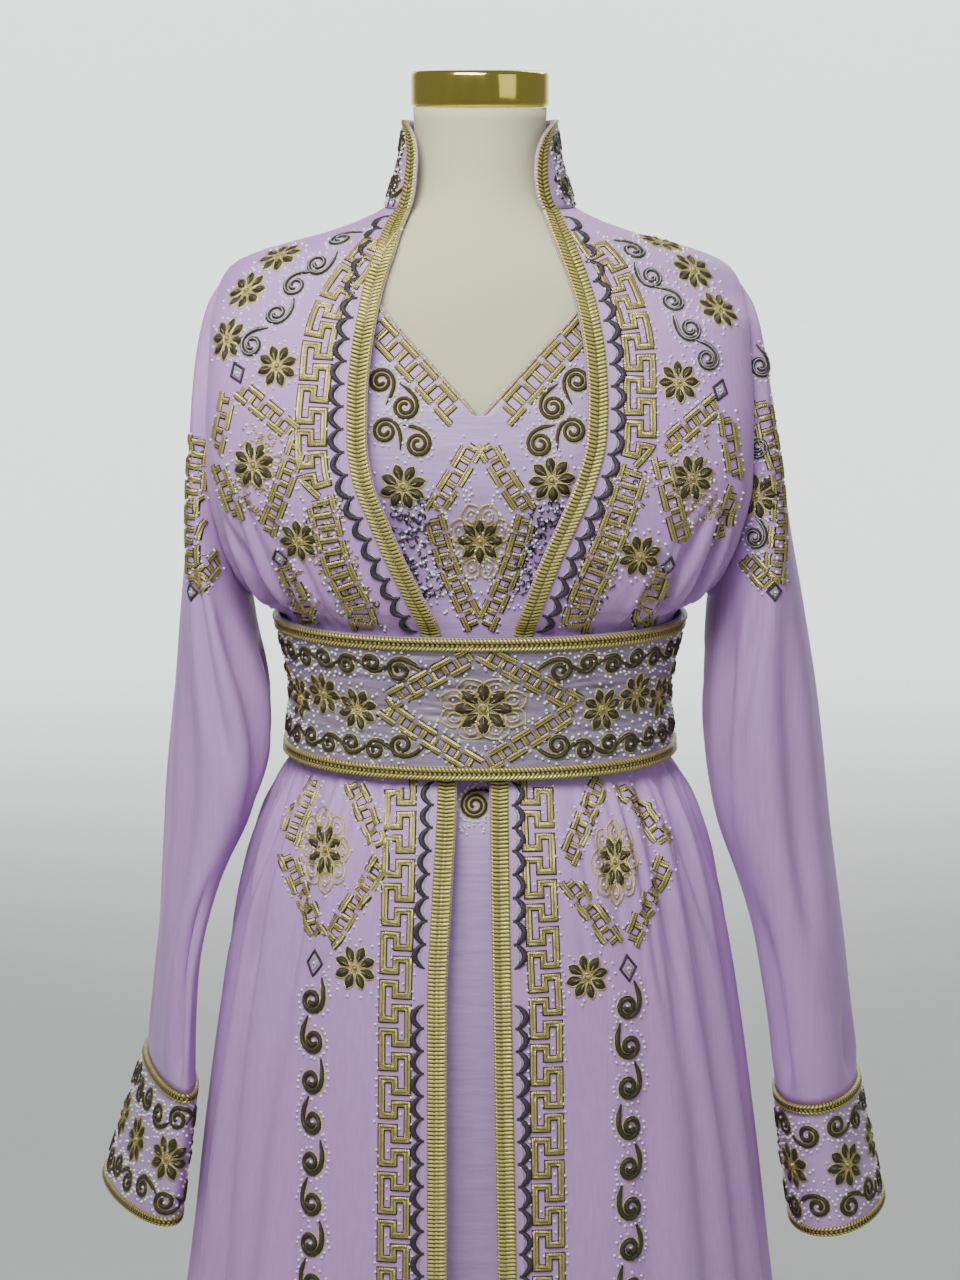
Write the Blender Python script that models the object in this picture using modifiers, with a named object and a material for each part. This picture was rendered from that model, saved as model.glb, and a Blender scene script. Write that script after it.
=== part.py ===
"""A long embroidered kaftan: an open robe with a stand collar over an under-dress, with a stiff belt,
on a limbless dress form with a round foot.

Metres, +Z up. The front faces -Y, and the wearer's right side is at -X. Every cloth piece is a wall
whose outer face is a grid of points: rows run down the garment, columns run round it. A place on the
body is given by its turn, 0 at the front centre, 0.5 at the side and 1 at the back centre, and its height.
"""

import math

import bpy
import numpy as np
from mathutils import Vector
from mathutils.bvhtree import BVHTree

# Heights that drive the whole garment
FOOT_THICKNESS = 0.010
ROBE_HEM = 0.020
UNDER_HEM = 0.036
FORM_BOTTOM = 0.800
WAIST_SEAM = 1.104
WAIST = 1.106
BELT_BOTTOM = 1.056
BELT_TOP = 1.157
ARMHOLE_BOTTOM = 1.172
ARMHOLE_TOP = 1.398
V_POINT = 1.309
BODICE_SHOULDER = 1.412
NECKLINE = 1.4415
COLLAR_TOP = 1.5065
NECK_TOP = 1.5147
CAP_TOP = 1.5406

# Cloth walls and the spaces between layers
ROBE_WALL = 0.0015
UNDER_WALL = 0.0012
COLLAR_WALL = 0.0024
BELT_WALL = 0.0035
CUFF_WALL = 0.0018
TRIM_WALL = 0.0022
SEAM_GAP = 0.0006
LAYER_GAP = 0.0004
FORM_GAP = 0.0013
BRAID_WIDTH = 0.015
BELT_TRIM_HEIGHT = 0.0095
CUFF_TRIM_HEIGHT = 0.0070
ARMHOLE_HALF_DEPTH = 0.060
ARMHOLE_PLAY = 0.0016
BODICE_HOLLOW = 0.085
BACK_NECK = 0.088
REST_PLAY = 0.0005
BELT_PLAY = 0.0007
BUST = {"x": 0.078, "z": 1.275, "rise": 0.012, "spread_x": 0.042, "spread_z": 0.050}
BRIDGE = {"rise": 0.007, "spread_x": 0.040, "spread_z": 0.045}
COLLAR_MOUTH = {"half_width": 0.0537, "front": 0.056, "back": 0.062}
COLLAR_DIP = 0.004
COLLAR_LEAN = 1.6

# Raised embroidery: bands of square-cut cord work, and flowers of eight petals
BAND_RISE = 0.0012
TRIM_SEAT = 0.0006
FLOWER_EDGE = 0.0010
FLOWER_RISE = 0.0024
PETALS = 8

# Stand
FOOT_RADIUS = 0.165
POLE_RADIUS = 0.0125
SOCKET_RADIUS = 0.040
SOCKET_HEIGHT = 0.030
CAP_RADIUS = 0.0487
STAND_GAP = 0.0003


class Table:
    """Rows of sizes against their first column, read on smooth curves that never overshoot a row."""

    def __init__(self, columns, rows):
        data = np.array(sorted(rows), float)
        self.columns = dict(zip(columns, data.T))
        self.key = data[:, 0]

    def at(self, column, where):
        """The column's value at these places along the first column, held beyond its ends."""
        x, y = self.key, self.columns[column]
        step = np.diff(x)
        slope = np.diff(y) / step
        tangent = np.zeros_like(y)
        same_way = slope[:-1] * slope[1:] > 0
        weight_a = 2 * step[1:] + step[:-1]
        weight_b = step[1:] + 2 * step[:-1]
        with np.errstate(divide="ignore", invalid="ignore"):
            mean = (weight_a + weight_b) / (weight_a / slope[:-1] + weight_b / slope[1:])
        tangent[1:-1] = np.where(same_way, mean, 0.0)
        tangent[0], tangent[-1] = slope[0], slope[-1]
        where = np.clip(np.asarray(where, float), x[0], x[-1])
        i = np.clip(np.searchsorted(x, where) - 1, 0, len(step) - 1)
        h = step[i]
        t = (where - x[i]) / h
        return (
            y[i] * (1 + 2 * t) * (1 - t) ** 2
            + tangent[i] * h * t * (1 - t) ** 2
            + y[i + 1] * t * t * (3 - 2 * t)
            + tangent[i + 1] * h * t * t * (t - 1)
        )


FORM = Table(
    ("z", "half_width", "front", "back", "power"),
    (
        (1.5147, 0.0470, 0.0490, 0.0510, 2.0),
        (1.4950, 0.0462, 0.0480, 0.0505, 2.0),
        (1.4700, 0.0470, 0.0490, 0.0530, 2.0),
        (1.4520, 0.0525, 0.0530, 0.0580, 2.0),
        (1.4400, 0.0670, 0.0580, 0.0640, 2.1),
        (1.4330, 0.0810, 0.0620, 0.0680, 2.1),
        (1.4250, 0.1020, 0.0670, 0.0720, 2.2),
        (1.4180, 0.1280, 0.0710, 0.0760, 2.2),
        (1.4100, 0.1560, 0.0750, 0.0800, 2.2),
        (1.4010, 0.1735, 0.0790, 0.0840, 2.2),
        (1.3880, 0.1795, 0.0840, 0.0875, 2.2),
        (1.3650, 0.1800, 0.0900, 0.0905, 2.2),
        (1.3350, 0.1745, 0.0960, 0.0930, 2.2),
        (1.3000, 0.1610, 0.1010, 0.0935, 2.2),
        (1.2600, 0.1490, 0.1030, 0.0910, 2.2),
        (1.2150, 0.1380, 0.0970, 0.0870, 2.2),
        (1.1650, 0.1270, 0.0900, 0.0820, 2.2),
        (1.1100, 0.1190, 0.0860, 0.0780, 2.2),
        (1.0600, 0.1230, 0.0880, 0.0830, 2.2),
        (1.0000, 0.1380, 0.0950, 0.0960, 2.2),
        (0.9300, 0.1520, 0.1010, 0.1090, 2.2),
        (0.8700, 0.1550, 0.1020, 0.1120, 2.2),
        (0.8200, 0.1530, 0.1000, 0.1080, 2.2),
        (0.8000, 0.1480, 0.0950, 0.1030, 2.2),
    ),
)

# How far the under-dress bodice stands off the form, to its outer face
BODICE_EASE = Table(
    ("z", "ease"),
    (
        (1.45, UNDER_WALL + FORM_GAP),
        (1.40, UNDER_WALL + FORM_GAP),
        (1.387, 0.0036),
        (1.376, 0.0074),
        (1.36, 0.0044),
        (1.29, 0.0042),
        (1.20, 0.0030),
        (1.10, 0.0024),
        (1.05, 0.0024),
    ),
)

UNDER_SKIRT = Table(
    ("z", "half_width", "front", "back"),
    (
        (1.104, 0.1225, 0.0895, 0.0810),
        (1.060, 0.1275, 0.0930, 0.0850),
        (1.010, 0.1470, 0.1100, 0.1030),
        (0.970, 0.1580, 0.1200, 0.1160),
        (0.920, 0.1660, 0.1290, 0.1240),
        (0.850, 0.1750, 0.1390, 0.1340),
        (0.760, 0.1860, 0.1510, 0.1460),
        (0.650, 0.1990, 0.1660, 0.1610),
        (0.520, 0.2150, 0.1850, 0.1800),
        (0.380, 0.2330, 0.2050, 0.2010),
        (0.210, 0.2550, 0.2280, 0.2250),
        (0.036, 0.2780, 0.2520, 0.2490),
    ),
)

# The robe below its shoulders: half_width reaches the armhole edge or the side seam
ROBE = Table(
    ("z", "half_width", "front", "back"),
    (
        (1.4415, 0.1860, 0.0800, 0.0850),
        (1.4000, 0.1862, 0.0930, 0.0930),
        (1.3750, 0.1870, 0.1010, 0.0990),
        (1.3400, 0.1885, 0.1120, 0.1030),
        (1.3000, 0.1905, 0.1220, 0.1040),
        (1.2600, 0.1905, 0.1265, 0.1030),
        (1.2200, 0.1835, 0.1240, 0.1010),
        (1.1950, 0.1755, 0.1205, 0.0985),
        (1.1800, 0.1680, 0.1170, 0.0960),
        (1.1700, 0.1590, 0.1135, 0.0935),
        (1.1620, 0.1450, 0.1075, 0.0895),
        (1.1570, 0.1410, 0.1060, 0.0885),
        (1.1060, 0.1305, 0.1000, 0.0850),
        (1.0560, 0.1345, 0.1035, 0.0890),
        (1.0500, 0.1380, 0.1055, 0.0920),
        (1.0400, 0.1460, 0.1115, 0.0990),
        (1.0100, 0.1610, 0.1260, 0.1140),
        (0.9700, 0.1730, 0.1370, 0.1280),
        (0.9200, 0.1825, 0.1460, 0.1390),
        (0.8500, 0.1940, 0.1570, 0.1510),
        (0.7600, 0.2065, 0.1700, 0.1640),
        (0.6500, 0.2210, 0.1860, 0.1800),
        (0.5200, 0.2390, 0.2060, 0.2000),
        (0.3800, 0.2590, 0.2270, 0.2220),
        (0.2100, 0.2840, 0.2520, 0.2500),
        (0.0200, 0.3120, 0.2800, 0.2822),
    ),
)
ROBE_POWER = 2.3
SHOULDER_TOP = 1.402
SHOULDER_END = 1.366

# Inner edge of each robe front, as a distance from the centre line
FRONT_EDGE = Table(
    ("z", "right", "left"),
    (
        (1.5065, 0.0524, 0.0526),
        (1.4931, 0.0455, 0.0428),
        (1.4796, 0.0438, 0.0388),
        (1.4660, 0.0445, 0.0380),
        (1.4524, 0.0460, 0.0395),
        (1.4415, 0.0490, 0.0435),
        (1.4285, 0.0539, 0.0479),
        (1.4150, 0.0580, 0.0533),
        (1.4020, 0.0627, 0.0587),
        (1.3888, 0.0668, 0.0635),
        (1.3755, 0.0696, 0.0669),
        (1.3487, 0.0738, 0.0711),
        (1.3218, 0.0760, 0.0726),
        (1.2948, 0.0762, 0.0715),
        (1.2676, 0.0724, 0.0649),
        (1.2403, 0.0624, 0.0536),
        (1.2128, 0.0510, 0.0415),
        (1.1852, 0.0382, 0.0314),
        (1.1609, 0.0273, 0.0232),
        (1.1050, 0.0200, 0.0130),
        (1.0498, 0.0160, 0.0066),
        (0.9800, 0.0193, 0.0072),
        (0.9070, 0.0227, 0.0085),
        (0.7000, 0.0229, 0.0120),
        (0.3500, 0.0250, 0.0160),
        (0.0200, 0.0280, 0.0200),
    ),
)

# Where the V neckline of the under-dress runs
V_EDGE = Table(
    ("z", "x"),
    ((1.3090, 0.0), (1.3450, 0.0335), (1.3830, 0.0680), (1.4100, 0.0850), (1.4330, 0.0930)),
)

# Soft valleys pressed into the robe. Depths are at the hip, at the hem and just above the belt.
FOLDS = (
    {"turn": 0.270, "spread": 0.021, "hip": 0.0045, "hem": 0.014, "chest": 0.0060},
    {"turn": 0.345, "spread": 0.020, "hip": 0.0075, "hem": 0.020, "chest": 0.0075},
    {"turn": 0.425, "spread": 0.020, "hip": 0.0080, "hem": 0.022, "chest": 0.0070},
    {"turn": 0.500, "spread": 0.018, "hip": 0.0045, "hem": 0.014, "chest": 0.0},
    {"turn": 0.575, "spread": 0.022, "hip": 0.0080, "hem": 0.022, "chest": 0.0050},
    {"turn": 0.690, "spread": 0.027, "hip": 0.0085, "hem": 0.024, "chest": 0.0050},
    {"turn": 0.810, "spread": 0.028, "hip": 0.0080, "hem": 0.023, "chest": 0.0040},
    {"turn": 0.930, "spread": 0.026, "hip": 0.0070, "hem": 0.021, "chest": 0.0030},
)
FOLD_SHARE = Table(
    ("z", "hip", "hem", "chest"),
    (
        (1.280, 0.0, 0.0, 0.0),
        (1.230, 0.0, 0.0, 0.45),
        (1.195, 0.0, 0.0, 1.0),
        (1.170, 0.0, 0.0, 0.8),
        (1.157, 0.0, 0.0, 0.0),
        (1.056, 0.0, 0.0, 0.0),
        (1.040, 0.55, 0.0, 0.0),
        (0.970, 0.9, 0.0, 0.0),
        (0.900, 1.0, 0.0, 0.0),
        (0.650, 0.75, 0.30, 0.0),
        (0.020, 0.0, 1.0, 0.0),
    ),
)

ROBE_ROWS = (
    NECKLINE, 1.434, 1.417, 1.408, 1.398, 1.385, 1.366, 1.340, V_POINT, 1.275, 1.242, 1.215,
    1.192, 1.172, 1.162, BELT_TOP, WAIST, BELT_BOTTOM, 1.042, 1.010, 0.965, 0.900, 0.810,
    0.700, 0.560, 0.400, 0.220, ROBE_HEM,
)
FRONT_TURNS = (0.07, 0.13, 0.19, 0.23, 0.27, 0.3075, 0.345, 0.385, 0.425, 0.4625, 0.5)
BACK_TURNS = (0.5, 0.5375, 0.575, 0.6325, 0.69, 0.75, 0.81, 0.87, 0.93, 1.0)

# Middle line of the band down each robe front: above the belt, then below it
CHEST_BAND = Table(
    ("z", "right", "left"),
    (
        (1.4150, 0.0850, 0.0865),
        (1.4040, 0.0905, 0.0920),
        (1.3850, 0.1005, 0.1000),
        (1.3600, 0.1088, 0.1066),
        (1.3330, 0.1118, 0.1080),
        (1.3040, 0.1142, 0.1084),
        (1.2740, 0.1136, 0.1045),
        (1.2500, 0.1080, 0.0970),
        (1.2080, 0.0972, 0.0810),
        (1.1800, 0.0850, 0.0680),
    ),
)
SKIRT_BAND = Table(
    ("z", "right", "left"),
    (
        (1.0400, 0.0550, 0.0404),
        (0.9760, 0.0554, 0.0415),
        (0.9080, 0.0582, 0.0450),
        (0.7200, 0.0605, 0.0479),
        (0.3500, 0.0640, 0.0510),
        (0.0400, 0.0680, 0.0550),
    ),
)
CHEST_BAND_HALF = 0.0092
SKIRT_BAND_HALF = 0.0100

# Diamonds of the same band: where the middle is, and half its width and height to the band's middle
DIAMONDS = (
    {"name": "belt_diamond", "on": "belt", "x": 0.0, "z": 1.1060, "wide": 0.0600, "high": 0.0325},
    {"name": "skirt_diamond_right", "on": "robe_front_right", "x": -0.1050, "z": 0.9960, "wide": 0.0300,
     "high": 0.0420},
    {"name": "skirt_diamond_left", "on": "robe_front_left", "x": 0.0955, "z": 0.9960, "wide": 0.0310,
     "high": 0.0420},
)
DIAMOND_BAND_HALF = 0.0060

# Flowers: the wall each lies on, its middle and its radius
FLOWER_COLUMNS = ("name", "on", "x", "z", "radius")
FLOWERS = (
    ("belt_middle", "belt", 0.0028, 1.1065, 0.0200),
    ("belt_right", "belt", -0.0895, 1.1070, 0.0138),
    ("belt_left", "belt", 0.0885, 1.1070, 0.0138),
    ("bodice_middle", "under_bodice_front", 0.0, 1.2242, 0.0210),
    ("bodice_right", "under_bodice_front", -0.0524, 1.2615, 0.0150),
    ("bodice_left", "under_bodice_front", 0.0489, 1.2664, 0.0150),
    ("shoulder_right", "robe_front_right", -0.1600, 1.3903, 0.0140),
    ("chest_right", "robe_front_right", -0.1380, 1.3425, 0.0130),
    ("side_right", "robe_front_right", -0.1544, 1.2757, 0.0165),
    ("rib_right", "robe_front_right", -0.1250, 1.2235, 0.0130),
    ("shoulder_left", "robe_front_left", 0.1475, 1.4030, 0.0140),
    ("arm_left", "robe_front_left", 0.1630, 1.3784, 0.0130),
    ("chest_left", "robe_front_left", 0.1351, 1.3320, 0.0130),
    ("side_left", "robe_front_left", 0.1444, 1.2672, 0.0165),
    ("rib_left", "robe_front_left", 0.1092, 1.2143, 0.0140),
    ("hip_right", "robe_front_right", -0.1065, 0.9975, 0.0155),
    ("hip_left", "robe_front_left", 0.0950, 0.9970, 0.0155),
    ("skirt_right", "robe_front_right", -0.0869, 0.9275, 0.0150),
    ("skirt_left", "robe_front_left", 0.0742, 0.9225, 0.0150),
    ("cuff_right", "cuff_right", -0.2349, 0.7668, 0.0140),
    ("cuff_left", "cuff_left", 0.2566, 0.7642, 0.0140),
)

# Sleeves, as loops from the armhole down: the outer and inner outline seen from the front, how far
# the outer side lies back, the half depth, and how far the middle bows out.
SLEEVE_COLUMNS = ("outer_x", "outer_z", "inner_x", "inner_z", "set_back", "half_depth", "bow")
SLEEVES = {
    "right": (
        (0.1930, 1.378, 0.1650, 1.168, 0.000, 0.0610, 0.0165),
        (0.1975, 1.352, 0.1640, 1.162, 0.000, 0.0620, 0.0165),
        (0.2005, 1.315, 0.1625, 1.154, 0.002, 0.0630, 0.0170),
        (0.2050, 1.270, 0.1610, 1.145, 0.005, 0.0640, 0.0160),
        (0.2095, 1.222, 0.1590, 1.133, 0.010, 0.0640, 0.0130),
        (0.2165, 1.170, 0.1560, 1.117, 0.015, 0.0630, 0.0090),
        (0.2225, 1.115, 0.1540, 1.093, 0.020, 0.0620, 0.0050),
        (0.2280, 1.060, 0.1560, 1.058, 0.025, 0.0600, 0.0020),
        (0.2330, 1.005, 0.1690, 1.012, 0.030, 0.0580, 0.0),
        (0.2375, 0.950, 0.1890, 0.962, 0.034, 0.0550, 0.0),
        (0.2425, 0.900, 0.2035, 0.908, 0.038, 0.0510, 0.0),
        (0.2475, 0.855, 0.2080, 0.856, 0.042, 0.0460, 0.0),
        (0.2535, 0.8140, 0.2090, 0.8090, 0.045, 0.0420, 0.0),
    ),
    "left": (
        (0.1940, 1.378, 0.1650, 1.168, 0.000, 0.0610, 0.0165),
        (0.2000, 1.350, 0.1645, 1.162, 0.000, 0.0620, 0.0165),
        (0.2070, 1.312, 0.1640, 1.154, 0.000, 0.0630, 0.0165),
        (0.2140, 1.270, 0.1635, 1.144, 0.000, 0.0640, 0.0150),
        (0.2225, 1.222, 0.1630, 1.131, 0.002, 0.0640, 0.0120),
        (0.2330, 1.170, 0.1630, 1.113, 0.004, 0.0630, 0.0080),
        (0.2430, 1.115, 0.1635, 1.088, 0.006, 0.0620, 0.0040),
        (0.2505, 1.060, 0.1665, 1.053, 0.008, 0.0600, 0.0020),
        (0.2575, 1.005, 0.1760, 1.006, 0.010, 0.0580, 0.0),
        (0.2655, 0.950, 0.1925, 0.954, 0.012, 0.0570, 0.0),
        (0.2725, 0.900, 0.2055, 0.902, 0.012, 0.0560, 0.0),
        (0.2780, 0.850, 0.2145, 0.850, 0.012, 0.0550, 0.0),
        (0.2835, 0.8035, 0.2205, 0.7960, 0.012, 0.0540, 0.0),
    ),
}
CUFFS = {
    "right": (
        (0.2545, 0.8134, 0.2085, 0.8084, 0.045, 0.0425, 0.0),
        (0.2640, 0.7870, 0.2110, 0.7830, 0.046, 0.0435, 0.0),
        (0.2770, 0.7480, 0.2160, 0.7460, 0.047, 0.0435, 0.0),
        (0.2900, 0.7080, 0.2215, 0.7080, 0.046, 0.0420, 0.0),
    ),
    "left": (
        (0.2845, 0.8029, 0.2200, 0.7954, 0.012, 0.0545, 0.0),
        (0.2895, 0.7790, 0.2230, 0.7690, 0.012, 0.0550, 0.0),
        (0.2975, 0.7430, 0.2280, 0.7310, 0.012, 0.0560, 0.0),
        (0.3060, 0.7060, 0.2340, 0.6940, 0.012, 0.0565, 0.0),
    ),
}
SLEEVE_SIDES = 16
SIDE_SIGN = {"right": -1.0, "left": 1.0}


def smoothstep(x, low, high):
    """0 at low, 1 at high, with a soft start and end."""
    t = np.clip((np.asarray(x, float) - low) / (high - low), 0, 1)
    return t * t * (3 - 2 * t)


def signed_power(value, exponent):
    return np.sign(value) * np.abs(value) ** exponent


def form_point(turn, z):
    """A point of the dress form's torso and neck."""
    turn, z = np.broadcast_arrays(np.asarray(turn, float), np.asarray(z, float))
    exponent = 2 / FORM.at("power", z)
    across = signed_power(np.sin(math.pi * turn), exponent)
    along = signed_power(np.cos(math.pi * turn), exponent)
    x = FORM.at("half_width", z) * across
    depth = np.where(along > 0, FORM.at("front", z), FORM.at("back", z))
    y = -depth * along
    mound = np.exp(-(((np.abs(x) - BUST["x"]) / BUST["spread_x"]) ** 2))
    mound = mound * np.exp(-(((z - BUST["z"]) / BUST["spread_z"]) ** 2))
    y = y - BUST["rise"] * mound * smoothstep(along, 0.0, 0.5)
    return np.stack([x, y, z], axis=-1)


def normal_of(surface, turn, z, small=2e-4):
    """Outward unit normals of a surface given as a function of turn and height."""
    turn, z = np.broadcast_arrays(np.asarray(turn, float), np.asarray(z, float))
    around = surface(turn + small, z) - surface(turn - small, z)
    up = surface(turn, z + small) - surface(turn, z - small)
    normal = np.cross(around, up)
    return normal / np.linalg.norm(normal, axis=-1, keepdims=True)


def off_form(turn, z, lift):
    """A point that stands off the form by this much."""
    lift = np.asarray(lift, float)[..., None]
    return form_point(turn, z) + lift * normal_of(form_point, turn, z)


def bodice_point(turn, z):
    """Outer face of the under-dress above the waist. It bridges the hollow between the breasts."""
    turn, z = np.broadcast_arrays(np.asarray(turn, float), np.asarray(z, float))
    point = off_form(turn, z, BODICE_EASE.at("ease", z))
    bridge = np.exp(-((point[..., 0] / BRIDGE["spread_x"]) ** 2))
    bridge = bridge * np.exp(-(((z - BUST["z"]) / BRIDGE["spread_z"]) ** 2))
    point[..., 1] -= BRIDGE["rise"] * bridge * (turn < 0.5)
    return point


def armhole_half_depth(z):
    """Half the front-to-back size of the armhole at this height, 0 above and below it."""
    middle = (ARMHOLE_TOP + ARMHOLE_BOTTOM) / 2
    half = (ARMHOLE_TOP - ARMHOLE_BOTTOM) / 2
    inside = 1 - ((np.asarray(z, float) - middle) / half) ** 2
    return ARMHOLE_HALF_DEPTH * np.sqrt(np.clip(inside, 0, None))


def fold_depth(turn, z):
    """How far the robe's folds press it inwards here."""
    depth = np.zeros(np.broadcast(turn, z).shape)
    for fold in FOLDS:
        valley = np.exp(-(((turn - fold["turn"]) / fold["spread"]) ** 2))
        for where in ("hip", "hem", "chest"):
            depth = depth + fold[where] * FOLD_SHARE.at(where, z) * valley
    return depth


def robe_point(turn, z, back=False):
    """Outer face of the robe. Its shoulders lie on the form, and below them it hangs free."""
    turn, z = np.broadcast_arrays(np.asarray(turn, float), np.asarray(z, float))
    edge_depth = armhole_half_depth(z)
    exponent = 2 / ROBE_POWER
    across = signed_power(np.sin(math.pi * turn), exponent)
    along = np.abs(signed_power(np.cos(math.pi * turn), exponent))
    depth = ROBE.at("back", z) if back else ROBE.at("front", z)
    press = fold_depth(turn, z)
    shrink = 1 - press / ROBE.at("half_width", z)
    x = ROBE.at("half_width", z) * across * shrink
    y = (edge_depth + (depth - edge_depth) * along) * shrink
    hanging = np.stack([x, y if back else -y, z], axis=-1)
    stand_off = ROBE_WALL + LAYER_GAP + UNDER_WALL + FORM_GAP + REST_PLAY
    resting = off_form(turn, z, np.full(z.shape, stand_off))
    share = 1 - smoothstep(z, SHOULDER_END, SHOULDER_TOP)
    return resting * (1 - share[..., None]) + hanging * share[..., None]


def turn_at_x(surface, x, z, high=0.5):
    """The turn at which a surface reaches this distance from the centre line, one for each height."""
    low, high = np.zeros_like(z), np.full_like(z, high)
    for _ in range(40):
        middle = (low + high) / 2
        beyond = surface(middle, z)[..., 0] > x
        high = np.where(beyond, middle, high)
        low = np.where(beyond, low, middle)
    return (low + high) / 2


def sleeve_loops(side, rows, first=None):
    """Loops of a sleeve or cuff, each a ring of points from its outer side round by the front."""
    angle = np.arange(SLEEVE_SIDES) * 2 * math.pi / SLEEVE_SIDES
    loops = [] if first is None else [first]
    for row in rows:
        size = dict(zip(SLEEVE_COLUMNS, row))
        share = (1 + np.cos(angle)) / 2
        x = size["inner_x"] + (size["outer_x"] - size["inner_x"]) * share
        x = x + size["bow"] * np.sin(angle) ** 2
        z = size["inner_z"] + (size["outer_z"] - size["inner_z"]) * share
        y = size["set_back"] * np.cos(angle) - size["half_depth"] * np.sin(angle)
        loops.append(np.stack([x, y, z], axis=-1))
    grid = np.array(loops)
    grid[..., 0] *= SIDE_SIGN[side]
    return grid


def armhole_loop():
    """The loop at which a sleeve leaves the robe, for the side at +X."""
    angle = np.arange(SLEEVE_SIDES) * 2 * math.pi / SLEEVE_SIDES
    z = (ARMHOLE_TOP + ARMHOLE_BOTTOM) / 2 + (ARMHOLE_TOP - ARMHOLE_BOTTOM) / 2 * np.cos(angle)
    turn = np.full_like(z, 0.5)
    front = robe_point(turn, z)
    back = robe_point(turn, z, back=True)
    loop = np.where((np.sin(angle) >= 0)[:, None], front, back)
    loop[:, 0] += ARMHOLE_PLAY
    return loop


def collar_point(turn, rise):
    """Outer face of the stand collar: rise is 0 at the neckline seam and 1 at the top edge."""
    turn, rise = np.broadcast_arrays(np.asarray(turn, float), np.asarray(rise, float))
    height = np.full(turn.shape, NECKLINE)
    seam = np.where(
        (turn > 0.5)[..., None], robe_point(turn, height, back=True), robe_point(turn, height)
    )
    across, along = np.sin(math.pi * turn), np.cos(math.pi * turn)
    depth = np.where(along > 0, COLLAR_MOUTH["front"], COLLAR_MOUTH["back"])
    top = np.stack([COLLAR_MOUTH["half_width"] * across, -depth * along, height], axis=-1)
    lean = 1 - (1 - rise) ** COLLAR_LEAN
    point = seam + (top - seam) * lean[..., None]
    top_edge = COLLAR_TOP - COLLAR_DIP * smoothstep(turn, 0.5, 1.0)
    low_edge = seam[..., 2] + SEAM_GAP
    point[..., 2] = low_edge + (top_edge - low_edge) * rise
    return point


def belt_point(turn, z, lift=0.0):
    """Outer face of the belt, or a face that stands off it by lift."""
    turn, z = np.broadcast_arrays(np.asarray(turn, float), np.asarray(z, float))
    exponent = 2 / ROBE_POWER
    rows = np.array((BELT_BOTTOM, WAIST, BELT_TOP))
    sizes = (np.interp(z, rows, ROBE.at(c, rows)) for c in ("half_width", "front", "back"))
    half_width, front, back = sizes
    clear = 2 * LAYER_GAP + TRIM_WALL + BELT_PLAY
    across = signed_power(np.sin(math.pi * turn), exponent)
    along = signed_power(np.cos(math.pi * turn), exponent)
    out = clear + BELT_WALL + lift
    depth = np.where(along > 0, front, back) + out
    return np.stack([(half_width + out) * across, -depth * along, z], axis=-1)


FINISHES = {
    "lilac_crepe": ((0.50, 0.39, 0.66), 0.55, 0.0),
    "lilac_satin": ((0.52, 0.42, 0.68), 0.45, 0.0),
    "gold_braid": ((0.55, 0.47, 0.18), 0.40, 0.7),
    "form_cloth": ((0.72, 0.70, 0.60), 0.80, 0.0),
    "gold_metal": ((0.80, 0.62, 0.18), 0.12, 1.0),
    "antique_thread": ((0.23, 0.19, 0.10), 0.45, 0.5),
}


def finish(name):
    """The named material, made when it is first asked for."""
    found = bpy.data.materials.get(name)
    if found:
        return found
    colour, roughness, metallic = FINISHES[name]
    made = bpy.data.materials.new(name)
    made.use_nodes = True
    shader = made.node_tree.nodes["Principled BSDF"]
    shader.inputs["Base Color"].default_value = (*colour, 1.0)
    shader.inputs["Roughness"].default_value = roughness
    shader.inputs["Metallic"].default_value = metallic
    made.diffuse_color = (*colour, 1.0)
    return made


def add_object(name, mesh, material):
    """Links a mesh as a piece of the kaftan, smoothly shaded."""
    mesh.materials.append(finish(material))
    mesh.shade_smooth()
    piece = bpy.data.objects.new(name, mesh)
    bpy.data.collections["Kaftan"].objects.link(piece)
    return piece


class Face:
    """The outer face of a wall, for seating what lies on it."""

    def __init__(self, points, faces):
        self.points, self.faces = points, faces
        self.tree = BVHTree.FromPolygons(points.tolist(), faces.tolist())

    def with_mirror_image(self):
        points = np.concatenate([self.points, self.points * [-1, 1, 1]])
        return Face(points, np.concatenate([self.faces, self.faces + len(self.points)]))

    def ahead(self, x, z):
        """The point of the face met from the front, and its outward normal."""
        hit, normal, _, _ = self.tree.ray_cast(Vector((x, -1.0, z)), Vector((0, 1, 0)))
        normal = np.array(normal)
        return np.array(hit), normal if normal[1] < 0 else -normal

    def seated(self, point, away, rise):
        """The point moved along its outward direction until it stands this far above the face."""
        start = point + away * 0.02
        hit, _, _, _ = self.tree.ray_cast(Vector(start), Vector(-away), 0.06)
        return point if hit is None else np.array(hit) + away * rise

    def burial(self, point, away):
        """How far this point lies under the face, less than 0 above it."""
        start = point + away * 0.02
        hit, _, _, _ = self.tree.ray_cast(Vector(start), Vector(-away), 0.06)
        return -1.0 if hit is None else float((np.array(hit) - point) @ away)


OUTER = {}


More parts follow.
